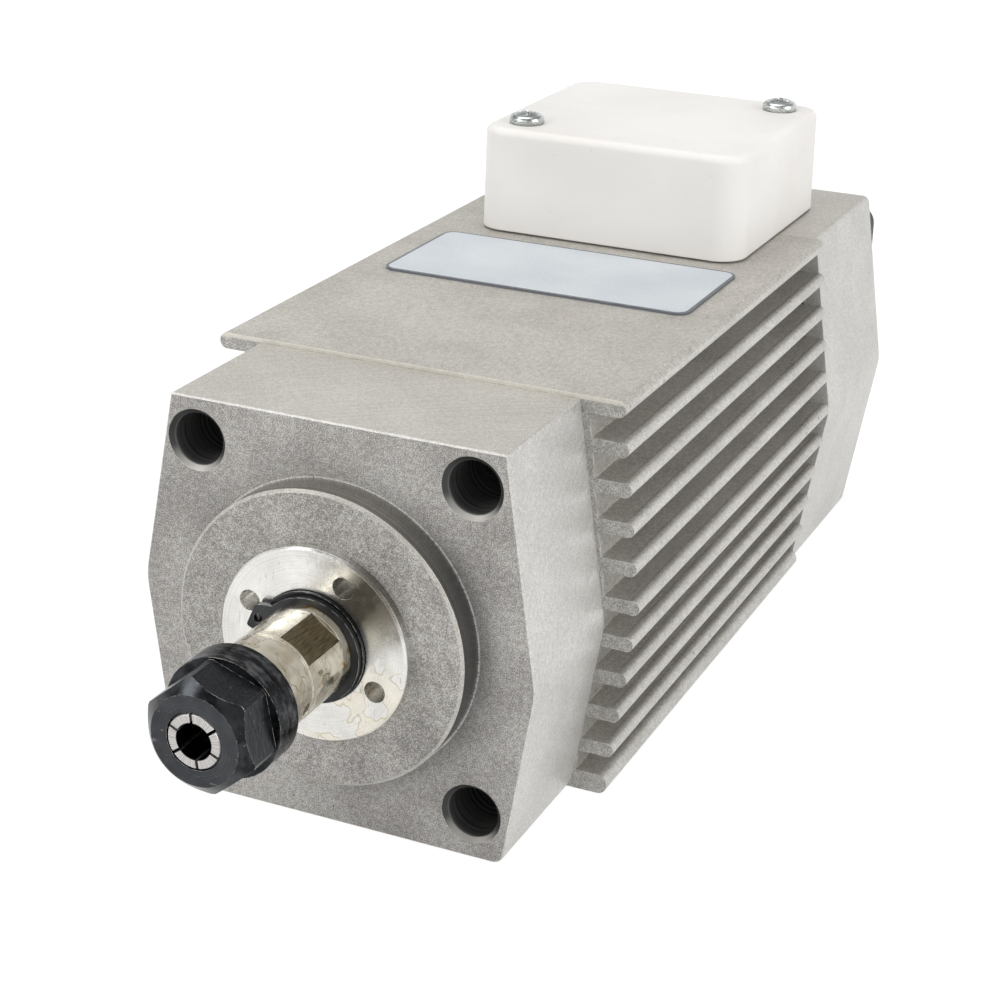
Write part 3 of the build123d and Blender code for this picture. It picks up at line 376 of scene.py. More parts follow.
def milled_colour(tree, spot, facing, fine, share):
    """Sides and top, each crossed by the faint arcs of the cutter that faced it, the top painted a
    shade darker.
    """
    arcs = lines(tree, distance_from(tree, spot["Y"], spot["Z"], *side_cutter), 1700.0)
    arcs = calc(tree, "ADD", span(tree, arcs, 0.3, 0.7, -share, share), fine)
    side = ramp(tree, arcs, (0.0, srgb(170, 168, 164)), (0.5, srgb(195, 193, 189)),
                (1.0, srgb(218, 216, 212)))
    sweep = lines(tree, distance_from(tree, spot["X"], spot["Y"], *top_cutter), 1300.0)
    sweep = calc(tree, "ADD", span(tree, sweep, 0.3, 0.7, -share, share), fine)
    # Painted shade: the top's tones sit a little below the sides'.
    top = ramp(tree, sweep, (0.0, srgb(162, 158, 151)), (0.5, srgb(186, 182, 175)),
               (1.0, srgb(208, 205, 198)))
    return mix(tree, span(tree, facing["Z"], 0.75, 0.93), side, top)


def counterbore_masks(tree, spot, facing, screws):
    """Walls of the four bores, and the chamfers at their mouths."""
    nearest = None
    for low, high in screw_boxes(screws, 0, 2):
        axis = (low + high) / 2
        gap = distance_from(tree, spot["X"], spot["Z"], axis.x, axis.z)
        nearest = gap if nearest is None else calc(tree, "MINIMUM", nearest, gap)
    wall = span(tree, nearest, sink_radius + 0.1 * mm, sink_radius)
    end_on = calc(tree, "ABSOLUTE", facing["Y"])
    mouth = times(tree, span(tree, nearest, sink_mouth + 0.1 * mm, sink_mouth),
                  span(tree, end_on, 0.97, 0.88), span(tree, end_on, 0.3, 0.5))
    return wall, mouth


def register_masks(tree, where, spot, facing):
    """Smooth wall of the register, its matt chamfer, the burr at its foot, and a painted shadow beside
    the foot.
    """
    radius = distance_from(tree, spot["X"], spot["Z"])
    rim = times(tree, span(tree, radius, register_radius - 0.8 * mm, register_radius - 0.65 * mm),
                span(tree, radius, register_radius + 1.0 * mm, register_radius + 0.4 * mm))
    side_on = span(tree, facing["Y"], -0.45, -0.2)
    chamfer = times(tree, rim, span(tree, facing["Y"], -0.98, -0.9),
                    calc(tree, "SUBTRACT", 1.0, side_on))
    at_face = span(tree, spot["Y"], -0.5 * mm, -0.15 * mm)
    from_foot = apart(tree, radius, register_radius + 0.16 * mm)
    burr = times(tree, span(tree, from_foot, 0.2 * mm, 0.08 * mm), at_face,
                 span(tree, noise(tree, where, 2600.0, 3.0), 0.36, 0.56))
    lean = calc(tree, "SUBTRACT", spot["X"], calc(tree, "MULTIPLY", spot["Z"], 0.7))
    shaded_lower_right = span(tree, lean, -14 * mm, 24 * mm)
    near_foot = span(tree, calc(tree, "SUBTRACT", radius, register_radius), 4.0 * mm, 0.5 * mm)
    # Painted shadow: the face beside the register's foot is darkened towards the lower right.
    foot_shadow = times(tree, near_foot, shaded_lower_right, at_face)
    return calc(tree, "MULTIPLY", rim, side_on), chamfer, burr, foot_shadow, shaded_lower_right


def cast_face(tree, where, spot, facing, fine, colour, height):
    """The front as cast and blasted, with its turned register and shade painted at its lower right:
    its looks, and the turned part.
    """
    skin = use(tree, grit, Grain=4600.0, Clouds=0.14, Nicks=0.7)
    front = span(tree, facing["Y"], -0.75, -0.95)
    wall, chamfer, burr, foot_shadow, shaded_lower_right = register_masks(tree, where, spot, facing)
    cast = ramp(tree, skin["Tone"], (0.0, srgb(112, 110, 107)), (0.5, srgb(156, 153, 149)),
                (1.0, srgb(202, 200, 196)))
    colour = mix(tree, front, colour, cast)
    colour = tint(tree, skin["Nick"], front, colour, srgb(74, 72, 70))
    # Painted shadow on the face beside the register's foot, towards the lower right.
    colour = tint(tree, foot_shadow, 0.35, colour, srgb(84, 83, 84))
    turned = ramp(tree, lines(tree, spot["Y"], 3500.0), (0.3, srgb(124, 122, 118)),
                  (0.7, srgb(182, 180, 175)))
    # Painted shade: the turned wall darkens towards the lower right, standing in for its reflection of
    # the shadowed face.
    turned = tint(tree, shaded_lower_right, 0.65, turned, srgb(86, 88, 91))
    colour = mix(tree, wall, colour, turned)
    matt = ramp(tree, fine["Tone"], (0.1, srgb(150, 147, 141)), (0.9, srgb(198, 195, 188)))
    colour = mix(tree, chamfer, colour, matt)
    colour = tint(tree, burr, 0.7, colour, srgb(226, 224, 219))
    metallic = blend(tree, wall, blend(tree, front, milled_metallic, 0.35), 0.95)
    rough = blend(tree, wall, blend(tree, front, milled_roughness, 0.6), 0.26)
    height = blend(tree, front, height, skin["Height"])
    return colour, metallic, rough, height, calc(tree, "MAXIMUM", wall, chamfer)


def bracket_metal(name, screws, has_cast_face, cutter_share):
    """Aluminium casting: blasted, milled, turned and bored surfaces, each with its own look."""
    material, tree, shader = new_material(name)
    where, spot, facing = surface_spot(tree)
    fine = use(tree, grit, Grain=5400.0, Clouds=0.1, Nicks=0.12)
    edge = use(tree, edge_wear, Width=0.17 * mm, Breakup=640.0, Amount=0.6)
    colour = milled_colour(tree, spot, facing, fine["Tone"], cutter_share)
    height = calc(tree, "MULTIPLY", fine["Height"], 0.4)
    metallic, rough, worn = milled_metallic, milled_roughness, edge["Mask"]
    if has_cast_face:
        colour, metallic, rough, height, machined = cast_face(
            tree, where, spot, facing, fine, colour, height)
        worn = times(tree, worn, span(tree, machined, 0.0, 1.0, 1.0, 0.25))
    bore, mouth = counterbore_masks(tree, spot, facing, screws)
    # Painted light and shade: each countersink chamfer is dark where it faces sideways and light where
    # it faces up.
    lit = span(tree, facing["Z"], 0.2, 0.7)
    shaded_countersink = mix(tree, lit, srgb(58, 58, 57), srgb(176, 173, 167))
    colour = mix(tree, mouth, colour, shaded_countersink)
    colour = mix(tree, worn, colour, srgb(228, 226, 221))
    # The bore walls carry real turned rings, and are painted dark as shade deep in the holes.
    rings = lines(tree, spot["Y"], 1500.0)
    bored = ramp(tree, rings, (0.34, srgb(58, 59, 60)), (0.64, srgb(118, 118, 116)))
    colour = mix(tree, bore, colour, bored)
    finish_with(shader, height, edge["Normal"], 0.011 * mm, Base_Color=colour, Metallic=metallic,
                Roughness=rough)
    return material


dress("front_bracket", bracket_metal("front_bracket_alloy", "front_tie_screws", True, 0.08))


# Finned housing
# An aluminium extrusion, sawn to length and blasted: fins along the sides and a flat top.
# The brackets are centred in its bore, and the stator is shrunk into it.
plate_underside = 35.3 * mm
fin_root = 31.4 * mm
fin_reach = 36.6 * mm
housing_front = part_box("finned_housing")[0].y


def extruded_metal(name):
    """Blasted extrusion: warm grey, with painted shade between the fins and painted light on their
    tips, which are rubbed smoother.
    """
    material, tree, shader = new_material(name)
    where, spot, facing = surface_spot(tree)
    skin = use(tree, grit, Grain=4200.0, Clouds=0.1, Nicks=0.5)
    streak = noise(tree, stretched(tree, where, 1.0, 0.3, 1.0), 2400.0)
    edge = use(tree, edge_wear, Width=0.25 * mm, Breakup=420.0, Amount=0.75)
    tone = calc(tree, "ADD", skin["Tone"], span(tree, streak, 0.3, 0.7, -0.1, 0.1))
    plain = ramp(tree, tone, (0.0, srgb(155, 151, 144)), (0.5, srgb(179, 175, 168)),
                 (1.0, srgb(203, 200, 194)))
    sawn = ramp(tree, skin["Tone"], (0.0, srgb(132, 130, 127)), (0.5, srgb(166, 164, 160)),
                (1.0, srgb(206, 204, 200)))
    # Painted light on the outward faces of the fin tips; their lower roughness is real rubbing.
    tip = ramp(tree, tone, (0.0, srgb(166, 163, 158)), (0.5, srgb(187, 185, 180)),
               (1.0, srgb(212, 210, 205)))
    # Painted shade: the fins and the gaps between them are toned darker.
    gap = ramp(tree, tone, (0.0, srgb(140, 137, 131)), (0.5, srgb(168, 165, 159)),
               (1.0, srgb(194, 191, 185)))
    outward = calc(tree, "ABSOLUTE", spot["X"])
    fins = times(tree, span(tree, outward, fin_root - 0.4 * mm, fin_root + 0.4 * mm),
                 span(tree, spot["Z"], plate_underside + 0.5 * mm, plate_underside))
    tips = times(tree, fins, span(tree, calc(tree, "ABSOLUTE", facing["X"]), 0.3, 0.7),
                 span(tree, outward, fin_reach - 0.4 * mm, fin_reach + 0.4 * mm))
    ends = span(tree, calc(tree, "ABSOLUTE", facing["Y"]), 0.7, 0.9)
    lip = times(tree, span(tree, spot["Y"], housing_front + 0.28 * mm, housing_front + 0.12 * mm),
                span(tree, spot["Z"], plate_underside + 0.2 * mm, plate_underside + 0.6 * mm))
    colour = mix(tree, fins, plain, gap)
    colour = mix(tree, tips, colour, tip)
    colour = mix(tree, ends, colour, sawn)
    colour = mix(tree, edge["Mask"], colour, srgb(228, 226, 221))
    colour = tint(tree, lip, 0.65, colour, srgb(222, 217, 205))
    colour = mix(tree, skin["Nick"], colour, srgb(88, 85, 80))
    rough = blend(tree, tips, 0.55, 0.42)
    finish_with(shader, skin["Height"], edge["Normal"], 0.009 * mm, Base_Color=colour, Roughness=rough)
    shader.inputs["Metallic"].default_value = 0.4
    return material


housing_alloy = extruded_metal("housing_alloy")
dress("finned_housing", housing_alloy)


# Rear bracket
# The same alloy as the front bracket, cast, then milled all round to a satin surface.
# It holds the rear bearing and leads the fan's air out along the fins.
dress("rear_bracket", bracket_metal("rear_bracket_alloy", "rear_tie_screws", False, 0.05))


# Bearing retaining ring
# A turned and polished steel ring, screwed into the front bracket with a pin spanner.
# Four small blind holes take the spanner's pins.
def turned_metal(name, dark, light, metallic, roughness, line_scale, stain=None):
    """Lathe turned metal: fine rings by radius and by length, haze, and stains if it has any."""
    material, tree, shader = new_material(name)
    where, spot, _ = surface_spot(tree)
    radius = distance_from(tree, spot["X"], spot["Z"])
    rings = lines(tree, calc(tree, "ADD", radius, spot["Y"]), line_scale, 4.0)
    haze = noise(tree, where, 160.0, 3.0)
    smear = noise(tree, where, 520.0, 3.0, 0.6)
    edge = use(tree, edge_wear, Width=0.15 * mm, Amount=0.7)
    tone = calc(tree, "ADD", calc(tree, "MULTIPLY", rings, 0.45), calc(tree, "MULTIPLY", haze, 0.55))
    colour = ramp(tree, tone, (0.36, dark), (0.62, light))
    if stain:
        colour = mix(tree, span(tree, smear, 0.52, 0.7, 0.0, 0.55), colour, stain)
    colour = mix(tree, edge["Mask"], colour, mix(tree, 0.55, light, srgb(240, 239, 236)))
    rough = span(tree, smear, 0.3, 0.7, roughness - 0.05, roughness + 0.09)
    finish_with(shader, rings, edge["Normal"], 0.0016 * mm, Base_Color=colour, Roughness=rough)
    shader.inputs["Metallic"].default_value = metallic
    return material


def angle_band(tree, spot, at, reach, fade):
    """Sector of the face round an angle from +X, in degrees, with soft borders."""
    angle = calc(tree, "ARCTAN2", spot["Z"], spot["X"])
    return span(tree, apart(tree, angle, math.radians(at)), math.radians(reach + fade),
                math.radians(reach))


def ring_steel():
    """Polished ring: fine rings, a painted dark reflection at the upper right, hair scratches and
    dried drops of lubricant below the shaft.
    """
    material = turned_metal("retaining_ring_steel", srgb(206, 204, 199), srgb(234, 233, 229), 0.92,
                            0.22, 7000.0)
    tree = material.node_tree
    shader = tree.nodes["Principled BSDF"]
    colour = shader.inputs["Base Color"].links[0].from_socket
    where, spot, _ = surface_spot(tree)
    # Painted reflection: a brown-grey wedge at the upper right.
    colour = tint(tree, angle_band(tree, spot, 44, 8, 24), 0.8, colour, srgb(112, 106, 95))
    drops = noise(tree, where, 170.0, 2.0)
    wet = times(tree, angle_band(tree, spot, -52, 30, 25), span(tree, drops, 0.47, 0.52))
    colour = tint(tree, wet, 0.3, colour, srgb(222, 208, 172))
    shore = times(tree, angle_band(tree, spot, -45, 35, 15),
                  span(tree, apart(tree, drops, 0.49), 0.014, 0.004))
    colour = tint(tree, shore, 0.4, colour, srgb(172, 150, 96))
    scratch = noise(tree, stretched(tree, where, 1.0, 1.0, 0.16), 2600.0)
    colour = mix(tree, span(tree, scratch, 0.66, 0.72, 0.0, 0.4), colour, srgb(140, 138, 134))
    wire(shader, {"Base Color": colour})
    return material


dress("bearing_retaining_ring", ring_steel())


# Labyrinth ring and front circlip
# A blackened steel sleeve turns with the shaft and keeps dust from the bearings.
# The spring steel circlip in front of it snaps into a groove of the shaft.
black_gloss = turned_metal("black_oxide_gloss", srgb(8, 9, 10), srgb(24, 25, 26), 0.35, 0.2,
                           5000.0)
black_satin = turned_metal("black_oxide_satin", srgb(26, 27, 28), srgb(58, 59, 60), 0.6, 0.3,
                           4000.0)
dress("labyrinth_ring", black_gloss)
dress("front_circlip", black_satin)


# Shaft
# Ground alloy steel with a tapered mouth for the collet and two milled flats for a wrench.
# The nose still has its film of preservative varnish, yellowed and wrinkled.
flat_direction = (math.sin(math.radians(37.0)), 0.0, math.cos(math.radians(37.0)))
flats_middle = -16.0 * mm
flats_half = 5.0 * mm
thread_end = -29.4 * mm
thread_pitch = 0.75 * mm


def varnish(tree, where, spot, steel):
    """Steel under a yellowed film, with wavy shores, and ochre drops near the circlip."""
    patch = noise(tree, stretched(tree, where, 1.0, 0.7, 1.0), 135.0, 3.0)
    film = span(tree, patch, 0.42, 0.5)
    haze = noise(tree, where, 420.0, 3.0)
    cream = ramp(tree, haze, (0.35, srgb(196, 188, 166)), (0.65, srgb(226, 221, 206)))
    colour = tint(tree, film, 0.8, steel, cream)
    shore = span(tree, apart(tree, patch, 0.45), 0.012, 0.003)
    colour = tint(tree, shore, 0.7, colour, srgb(98, 87, 62))
    wave = noise(tree, stretched(tree, where, 1.0, 1.6, 1.0), 190.0, 2.0)
    crest = span(tree, apart(tree, wave, 0.52), 0.014, 0.003)
    colour = tint(tree, crest, 0.65, colour, srgb(112, 101, 76))
    ochre = times(tree, span(tree, noise(tree, where, 330.0, 3.0), 0.55, 0.62),
                  span(tree, spot["Y"], -18 * mm, -12 * mm, 0.2, 0.9))
    return mix(tree, ochre, colour, srgb(164, 132, 70)), film, wave


def shaft_steel():
    """Ground steel under varnish, with painted shade below, brown flats and a threaded nose."""
    material, tree, shader = new_material("shaft_ground_steel")
    where, spot, facing = surface_spot(tree)
    grind = lines(tree, spot["Y"], 5200.0, 4.0)
    steel = ramp(tree, grind, (0.3, srgb(138, 134, 122)), (0.7, srgb(204, 201, 190)))
    colour, film, wave = varnish(tree, where, spot, steel)
    # Painted shade: the lower right side of the shaft is darkened.
    shaded_underside = span(tree, calc(tree, "SUBTRACT", facing["X"], facing["Z"]), 0.55, 1.35)
    colour = tint(tree, shaded_underside, 0.45, colour, srgb(92, 86, 70))
    facing_whole = put(tree, "TexCoord").outputs["Normal"]
    lean = put(tree, "VectorMath", {0: facing_whole, 1: flat_direction}, operation="DOT_PRODUCT")
    flats = times(tree, span(tree, calc(tree, "ABSOLUTE", lean.outputs["Value"]), 0.985, 0.995),
                  span(tree, apart(tree, spot["Y"], flats_middle), flats_half + 0.2 * mm,
                       flats_half - 0.1 * mm))
    brushed = noise(tree, stretched(tree, where, 1.0, 0.1, 1.0), 4200.0, 3.0)
    brown = ramp(tree, brushed, (0.35, srgb(68, 59, 42)), (0.65, srgb(108, 96, 70)))
    colour = mix(tree, flats, colour, brown)
    threaded = span(tree, spot["Y"], thread_end, thread_end - 0.5 * mm)
    turn = calc(tree, "DIVIDE", calc(tree, "ARCTAN2", spot["Z"], spot["X"]), 2 * math.pi)
    turn = calc(tree, "ADD", calc(tree, "DIVIDE", spot["Y"], thread_pitch), turn)
    tooth = calc(tree, "PINGPONG", turn, 0.5)
    # Painted shade in the thread's grooves.
    groove = times(tree, threaded, span(tree, tooth, 0.25, 0.0))
    colour = mix(tree, groove, colour, srgb(60, 58, 54))
    edge = use(tree, edge_wear, Width=0.2 * mm, Breakup=500.0, Amount=0.9)
    colour = mix(tree, edge["Mask"], colour, srgb(240, 236, 224))
    height = blend(tree, threaded, calc(tree, "MULTIPLY", wave, 0.05), tooth)
    rough = blend(tree, flats, span(tree, wave, 0.3, 0.7, 0.12, 0.28), 0.42)
    finish_with(shader, height, edge["Normal"], 0.4 * mm, Base_Color=colour, Roughness=rough,
                Metallic=blend(tree, film, 0.95, 0.6), Coat_Weight=calc(tree, "MULTIPLY", film, 0.6))
    shader.inputs["Coat Roughness"].default_value = 0.1
    return material


dress("shaft", shaft_steel())


# Collet nut
# Turned from steel bar, its hexagon milled afterwards, hardened and blackened in hot salt.
# It draws the collet into the shaft's taper.
collar_front = -35.2 * mm
collar_radius = 10.0 * mm
nut_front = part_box("collet_nut")[0].y


def nut_oxide():
    """Blue-black oxide: matte face, glossy chamfer and collar, milled flats, rubbed edges."""
    material, tree, shader = new_material("nut_black_oxide")
    where, spot, facing = surface_spot(tree)
    radius = distance_from(tree, spot["X"], spot["Z"])
    haze = noise(tree, where, 260.0, 3.0, 0.6)
    face = times(tree, span(tree, facing["Y"], -0.9, -0.97),
                 span(tree, spot["Y"], nut_front + 1.0 * mm, nut_front + 0.3 * mm))
    cone = times(tree, span(tree, facing["Y"], -0.4, -0.5), calc(tree, "SUBTRACT", 1.0, face))
    collar = times(tree, span(tree, radius, collar_radius - 0.3 * mm, collar_radius - 0.15 * mm),
                   span(tree, spot["Y"], collar_front - 0.2 * mm, collar_front))
    cuts = noise(tree, stretched(tree, where, 1.0, 1.0, 0.1), 3400.0, 3.0)
    rings = lines(tree, calc(tree, "ADD", radius, spot["Y"]), 4500.0, 4.0)
    flats = ramp(tree, cuts, (0.32, srgb(26, 28, 31)), (0.68, srgb(60, 63, 67)))
    tone = calc(tree, "ADD", calc(tree, "MULTIPLY", rings, 0.4), calc(tree, "MULTIPLY", haze, 0.6))
    matte = ramp(tree, tone, (0.38, srgb(50, 52, 55)), (0.62, srgb(68, 70, 73)))
    gloss = ramp(tree, haze, (0.4, srgb(20, 22, 24)), (0.62, srgb(58, 61, 64)))
    colour = mix(tree, face, flats, matte)
    colour = mix(tree, cone, colour, gloss)
    smear = noise(tree, stretched(tree, where, 1.0, 2.2, 1.0), 300.0, 4.0, 0.62)
    rubbed = ramp(tree, smear, (0.42, srgb(18, 19, 21)), (0.55, srgb(54, 56, 59)),
                  (0.7, srgb(104, 105, 107)))
    colour = mix(tree, collar, colour, rubbed)
    scratch = noise(tree, stretched(tree, where, 0.2, 1.0, 0.7), 2300.0)
    colour = mix(tree, span(tree, scratch, 0.67, 0.73, 0.0, 0.6), colour, srgb(120, 120, 120))
    edge = use(tree, edge_wear, Width=0.12 * mm, Breakup=1100.0, Amount=0.9)
    colour = mix(tree, edge["Mask"], colour, srgb(168, 165, 156))
    rough = blend(tree, cone, blend(tree, face, 0.3, 0.5), 0.22)
    rough = blend(tree, collar, rough, span(tree, smear, 0.35, 0.65, 0.16, 0.34))
    finish_with(shader, rings, edge["Normal"], 0.002 * mm, Base_Color=colour, Roughness=rough)
    shader.inputs["Metallic"].default_value = 0.75
    return material


dress("collet_nut", nut_oxide())


# Collet
# Hardened spring steel, ground all over and slit from both ends, so that it grips evenly.
# The nut's eccentric lip snaps into its groove and pulls it out again.
collet_bore = 3.0 * mm


def collet_steel():
    """Ground steel: radial grind lines on the face, and painted shade inside the bore."""
    material, tree, shader = new_material("collet_ground_steel")
    _, spot, facing = surface_spot(tree)
    radius = distance_from(tree, spot["X"], spot["Z"])
    radial = lines(tree, calc(tree, "ARCTAN2", spot["Z"], spot["X"]), 26.0, 4.0)
    face = ramp(tree, radial, (0.34, srgb(150, 146, 143)), (0.52, srgb(188, 185, 182)),
                (0.66, srgb(212, 210, 207)))
    ground = lines(tree, spot["Y"], 5000.0, 4.0)
    side = ramp(tree, ground, (0.3, srgb(168, 166, 162)), (0.7, srgb(216, 214, 211)))
    colour = mix(tree, span(tree, facing["Y"], -0.8, -0.95), side, face)
    # Painted shade: near black inside the bore.
    outside = span(tree, radius, collet_bore + 0.04 * mm, collet_bore + 0.12 * mm)
    colour = mix(tree, outside, srgb(20, 19, 18), colour)
    edge = use(tree, edge_wear, Width=0.16 * mm, Breakup=500.0, Amount=1.0)
    colour = tint(tree, edge["Mask"], outside, colour, srgb(250, 249, 247))
    finish_with(shader, radial, edge["Normal"], 0.004 * mm, Base_Color=colour)
    shader.inputs["Metallic"].default_value = 0.8
    shader.inputs["Roughness"].default_value = 0.32
    return material


dress("collet", collet_steel())


# Tie screws
# Blackened socket head screws at the bottom of the brackets' counterbores.
# They clamp the front and rear bracket to the ends of the housing.
dress("front_tie_screws", black_gloss)
dress("rear_tie_screws", black_gloss)


# Terminal box cover
# Injection-moulded ivory white plastic with soft corners, open below.
# It is pulled down on its gasket by two screws on diagonal corners.
def moulded_plastic(name, dark, light, roughness, grain, depth, edge_light=None):
    """Moulded plastic: nearly even colour, faint flow clouds, a fine grain and dust specks."""
    material, tree, shader = new_material(name)
    where = put(tree, "TexCoord").outputs["Object"]
    fine = noise(tree, where, grain)
    dust = span(tree, noise(tree, where, 1500.0, 1.0), 0.75, 0.8, 0.0, 0.3)
    edge = use(tree, edge_wear, Width=0.4 * mm, Breakup=90.0, Amount=0.6)
    colour = ramp(tree, noise(tree, where, 34.0, 3.0), (0.34, dark), (0.64, light))
    colour = mix(tree, dust, colour, mix(tree, 0.45, dark, srgb(90, 84, 78)))
    if edge_light:
        colour = mix(tree, edge["Mask"], colour, edge_light)
    rough = span(tree, fine, 0.3, 0.7, roughness - 0.07, roughness + 0.07)
    finish_with(shader, fine, edge["Normal"], depth, Base_Color=colour, Roughness=rough)
    return material


dress("terminal_box_cover", moulded_plastic(
    "box_ivory_plastic", srgb(222, 219, 215), srgb(229, 227, 224), 0.46, 1500.0, 0.005 * mm,
    srgb(232, 222, 212)))


# Screws of the terminal box and of the fan cover
# Zinc-plated pan head screws, pressed with a cross recess that tapers towards its floor.
# They cut their own thread in the plastic and in the rear bracket.
zinc = turned_metal("zinc_plated_steel", srgb(160, 165, 163), srgb(222, 226, 224), 0.92, 0.18,
                    2500.0, srgb(116, 120, 118))
head_steps = 96


def cross_recess(x, y, reach, deepest):
    """Depth of the driver's cross below the head at a point."""
    arm = 0.19 * reach
    wall = 0.2 * arm
    along, across = max(abs(x), abs(y)), min(abs(x), abs(y))
    floor_depth = deepest * (1.0 - 0.4 * along / reach)
    in_arm = min((arm - across) / wall, (reach - along) / wall)
    in_middle = (0.45 * reach - along - across) / wall
    return floor_depth * min(1.0, max(0.0, in_arm, in_middle))


def pan_head_outline(radius, height):
    """Outline of the head from its middle to its rim, as (radius, height) points."""
    corner = 0.42 * height
    flat_radius = radius - corner
    rise = 0.24 * height
    top_steps = 44
    corner_steps = 8
    points = []
    for i in range(top_steps + 1):
        r = flat_radius * i / top_steps
        points.append((r, height - rise * (r / flat_radius) ** 2))
    for i in range(1, corner_steps + 1):
        turn = math.pi / 2 * i / corner_steps
        points.append((flat_radius + corner * math.sin(turn),
                       height - rise - corner * (1 - math.cos(turn))))
    points.append((radius, 0.0))
    return points


def add_ring(mesh, transform, radius, height_at):
    """A ring of vertices about the screw's axis, each at its own height."""
    ring = []
    for k in range(head_steps):
        turn = 2 * math.pi * k / head_steps
        x, y = radius * math.cos(turn), radius * math.sin(turn)
        ring.append(mesh.verts.new(transform @ Vector((x, y, height_at(x, y)))))
    return ring


def add_screw(mesh, transform, radius, head_height, length):
    """Pan head with its cross, and a plain shank below it."""
    reach, deepest = 0.56 * radius, 0.6 * head_height
    outline = pan_head_outline(radius, head_height)
    centre = mesh.verts.new(transform @ Vector((0, 0, head_height - deepest)))
    rings = [add_ring(mesh, transform, r, lambda x, y, z=z: z - cross_recess(x, y, reach, deepest))
             for r, z in outline[1:]]
    shank_radius = 0.45 * radius
    rings += [add_ring(mesh, transform, shank_radius, lambda x, y, z=z: z) for z in (0.0, -length)]
    for k in range(head_steps):
        after = (k + 1) % head_steps
        mesh.faces.new((centre, rings[0][k], rings[0][after]))
        for inner, outer in zip(rings, rings[1:]):
            mesh.faces.new((inner[k], outer[k], outer[after], inner[after]))
    mesh.faces.new(list(reversed(rings[-1])))


def pan_screws(name, node_name, up, across, head_height):
    """Detailed screws in place of a node's plain ones, each with its cross turned another way."""
    mesh = bmesh.new()
    for i, (low, high) in enumerate(screw_boxes(node_name, *across)):
        seat = (low + high) / 2
        seat[up] = high[up] - head_height
        upright = Matrix.Rotation(math.radians(-90), 4, "X") if up == 1 else Matrix()
        spin = Matrix.Rotation(0.45 + 0.9 * i, 4, "Z")
        radius = (high.x - low.x) / 2
        add_screw(mesh, Matrix.Translation(seat) @ upright @ spin, radius, head_height,
                  seat[up] - low[up])
    bmesh.ops.recalc_face_normals(mesh, faces=mesh.faces)
    for face in mesh.faces:
        face.smooth = True
    data = bpy.data.meshes.new(name)
    mesh.to_mesh(data)
    mesh.free()
    data.materials.append(zinc)
    piece = bpy.data.objects.new(name, data)
    bpy.context.scene.collection.objects.link(piece)
    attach(piece, "housing")
    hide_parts(node_name)


pan_screws("box_pan_screws", "terminal_box_screws", 2, (0, 1), 2.4 * mm)
pan_screws("cover_pan_screws", "fan_cover_screws", 1, (0, 2), 1.9 * mm)


# Terminal box gasket and cable grommet
# Grey foam under the cover's rim, cut to its outline, and a black rubber sleeve in its rear
# wall, where the supply cable enters.
foam = moulded_plastic("gasket_foam", srgb(112, 111, 108), srgb(134, 133, 130), 0.75, 2600.0,
                       0.02 * mm)
rubber = moulded_plastic("black_rubber", srgb(20, 20, 20), srgb(34, 34, 34), 0.6, 900.0, 0.02 * mm)
dress("terminal_box_gasket", foam)
dress("cable_grommet", rubber)


# Name plate
# Thin anodised aluminium with a printed dark rim, glued to the housing. It is left bare.
# Its corners are rounded, and its rim follows them.
plate_rim = 0.5 * mm
plate_corner = 2.6 * mm


def plate_skin():
    """Pale blue-grey anodised face with a dark rim along the plate's rounded outline."""
    material, tree, shader = new_material("name_plate_face")
    where, spot, _ = surface_spot(tree)
    low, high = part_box("name_plate")
    over = []
    for axis, nearer, further in zip("XY", low, high):
        from_middle = apart(tree, spot[axis], (nearer + further) / 2)
        straight = (further - nearer) / 2 - plate_corner
        over.append(calc(tree, "MAXIMUM", calc(tree, "SUBTRACT", from_middle, straight), 0.0))
    reach = distance_from(tree, over[0], over[1])
    rim = span(tree, reach, plate_corner - plate_rim - 0.06 * mm, plate_corner - plate_rim)
    fine = noise(tree, where, 2200.0)
    tone = calc(tree, "ADD", calc(tree, "MULTIPLY", fine, 0.4),
                calc(tree, "MULTIPLY", noise(tree, where, 60.0, 3.0), 0.6))
    face = ramp(tree, tone, (0.38, srgb(186, 193, 198)), (0.62, srgb(201, 206, 210)))
    colour = mix(tree, rim, face, srgb(98, 102, 108))
    edge = use(tree, edge_wear, Width=0.1 * mm, Amount=0.5)
    colour = mix(tree, edge["Mask"], colour, srgb(214, 216, 218))
    finish_with(shader, fine, edge["Normal"], 0.002 * mm, Base_Color=colour)
    shader.inputs["Metallic"].default_value = 0.15
    shader.inputs["Roughness"].default_value = 0.42
    return material


dress("name_plate", plate_skin())


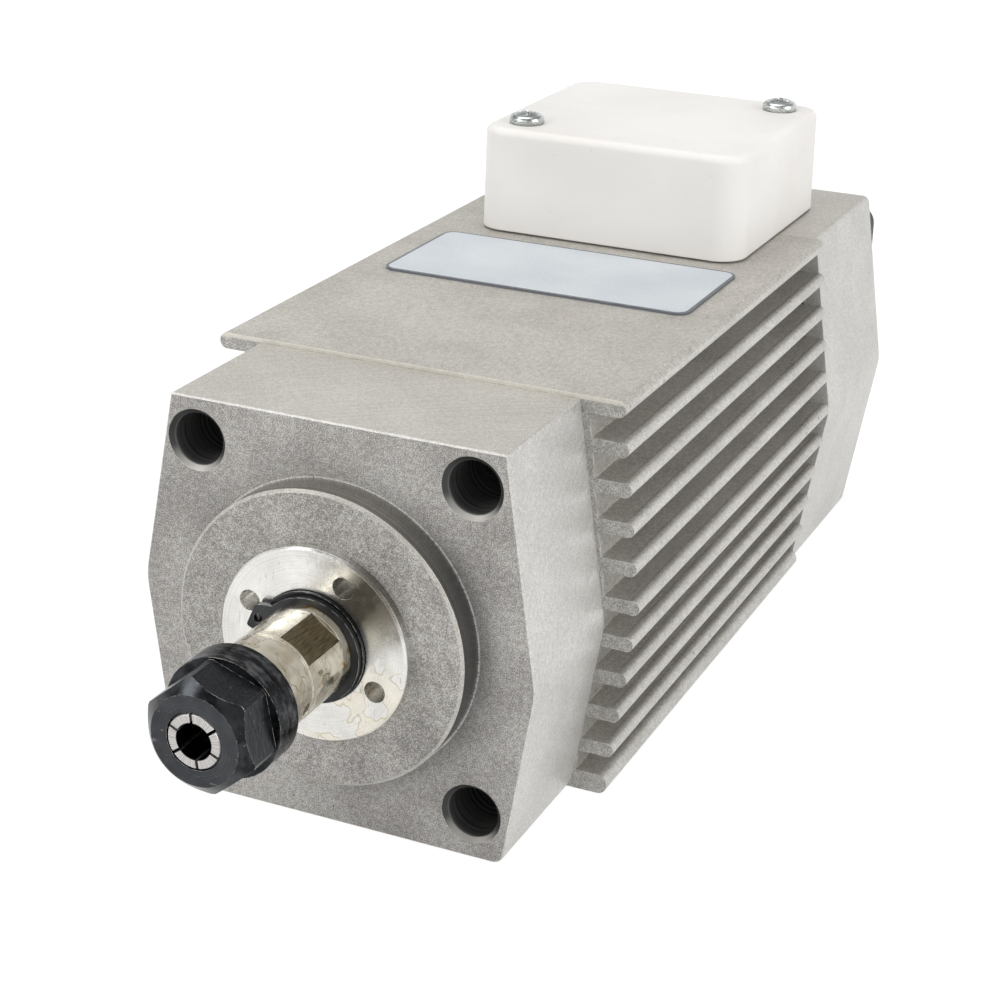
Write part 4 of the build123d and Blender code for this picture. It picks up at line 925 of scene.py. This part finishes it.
# Fan cover, fan wheel and rear circlips
# Black moulded plastic: a square cover with a grille, and a fan wheel pressed on the shaft.
# Circlips hold the wheel and the rear bearing in their places along the shaft.
cover_plastic = moulded_plastic("cover_black_plastic", srgb(18, 18, 19), srgb(30, 30, 31), 0.42,
                                1400.0, 0.012 * mm, srgb(70, 70, 72))
dress("fan_cover", cover_plastic)
dress("fan_impeller", cover_plastic)
dress("rear_circlips", black_satin)


# Terminals and leads
# A pale moulded block with brass screws, where the winding's four insulated leads end.
# The earth screw goes into the housing beside it.
block_plastic = moulded_plastic("terminal_block_plastic", srgb(200, 196, 184), srgb(216, 212, 200),
                                0.4, 1500.0, 0.005 * mm)
brass = turned_metal("brass", srgb(150, 118, 60), srgb(205, 170, 98), 0.9, 0.25, 6000.0)
lead_cover = moulded_plastic("lead_insulation", srgb(176, 150, 96), srgb(196, 172, 118), 0.45,
                             1500.0, 0.01 * mm)
dress("terminal_block", block_plastic)
dress("terminal_block_screws", brass)
dress("earth_screw", brass)
dress("winding_leads", lead_cover)


# Bearings, spacers and spring
# Two deep groove bearings in front with ground spacers between them, and one at the rear,
# which the wave spring preloads. Their cages are moulded plastic.
bearing_steel = turned_metal("bearing_steel", srgb(190, 192, 194), srgb(232, 233, 234), 0.95, 0.12,
                             9000.0)
cage_plastic = moulded_plastic("bearing_cage", srgb(52, 84, 62), srgb(68, 100, 76), 0.45, 1500.0,
                               0.006 * mm)
for name in ("front_bearing_outer_rings", "front_bearing_inner_rings", "front_bearing_balls",
             "rear_bearing_outer_ring", "rear_bearing_inner_ring", "rear_bearing_balls",
             "outer_bearing_spacer", "inner_bearing_spacer", "wave_spring"):
    dress(name, bearing_steel)
for name in ("front_bearing_cages", "rear_bearing_cage"):
    dress(name, cage_plastic)


# Stator and rotor
# Stacks of punched steel sheets. The stator's slots hold a varnished copper winding,
# and an aluminium cage is cast through the rotor's.
sheet_steel = turned_metal("laminated_steel", srgb(82, 82, 84), srgb(124, 124, 126), 0.85, 0.4,
                           2200.0)
copper = moulded_plastic("varnished_copper", srgb(120, 58, 26), srgb(164, 86, 44), 0.3, 900.0,
                         0.05 * mm)
dress("stator_core", sheet_steel)
dress("rotor_core", sheet_steel)
dress("stator_winding", copper)
dress("rotor_cage", housing_alloy)
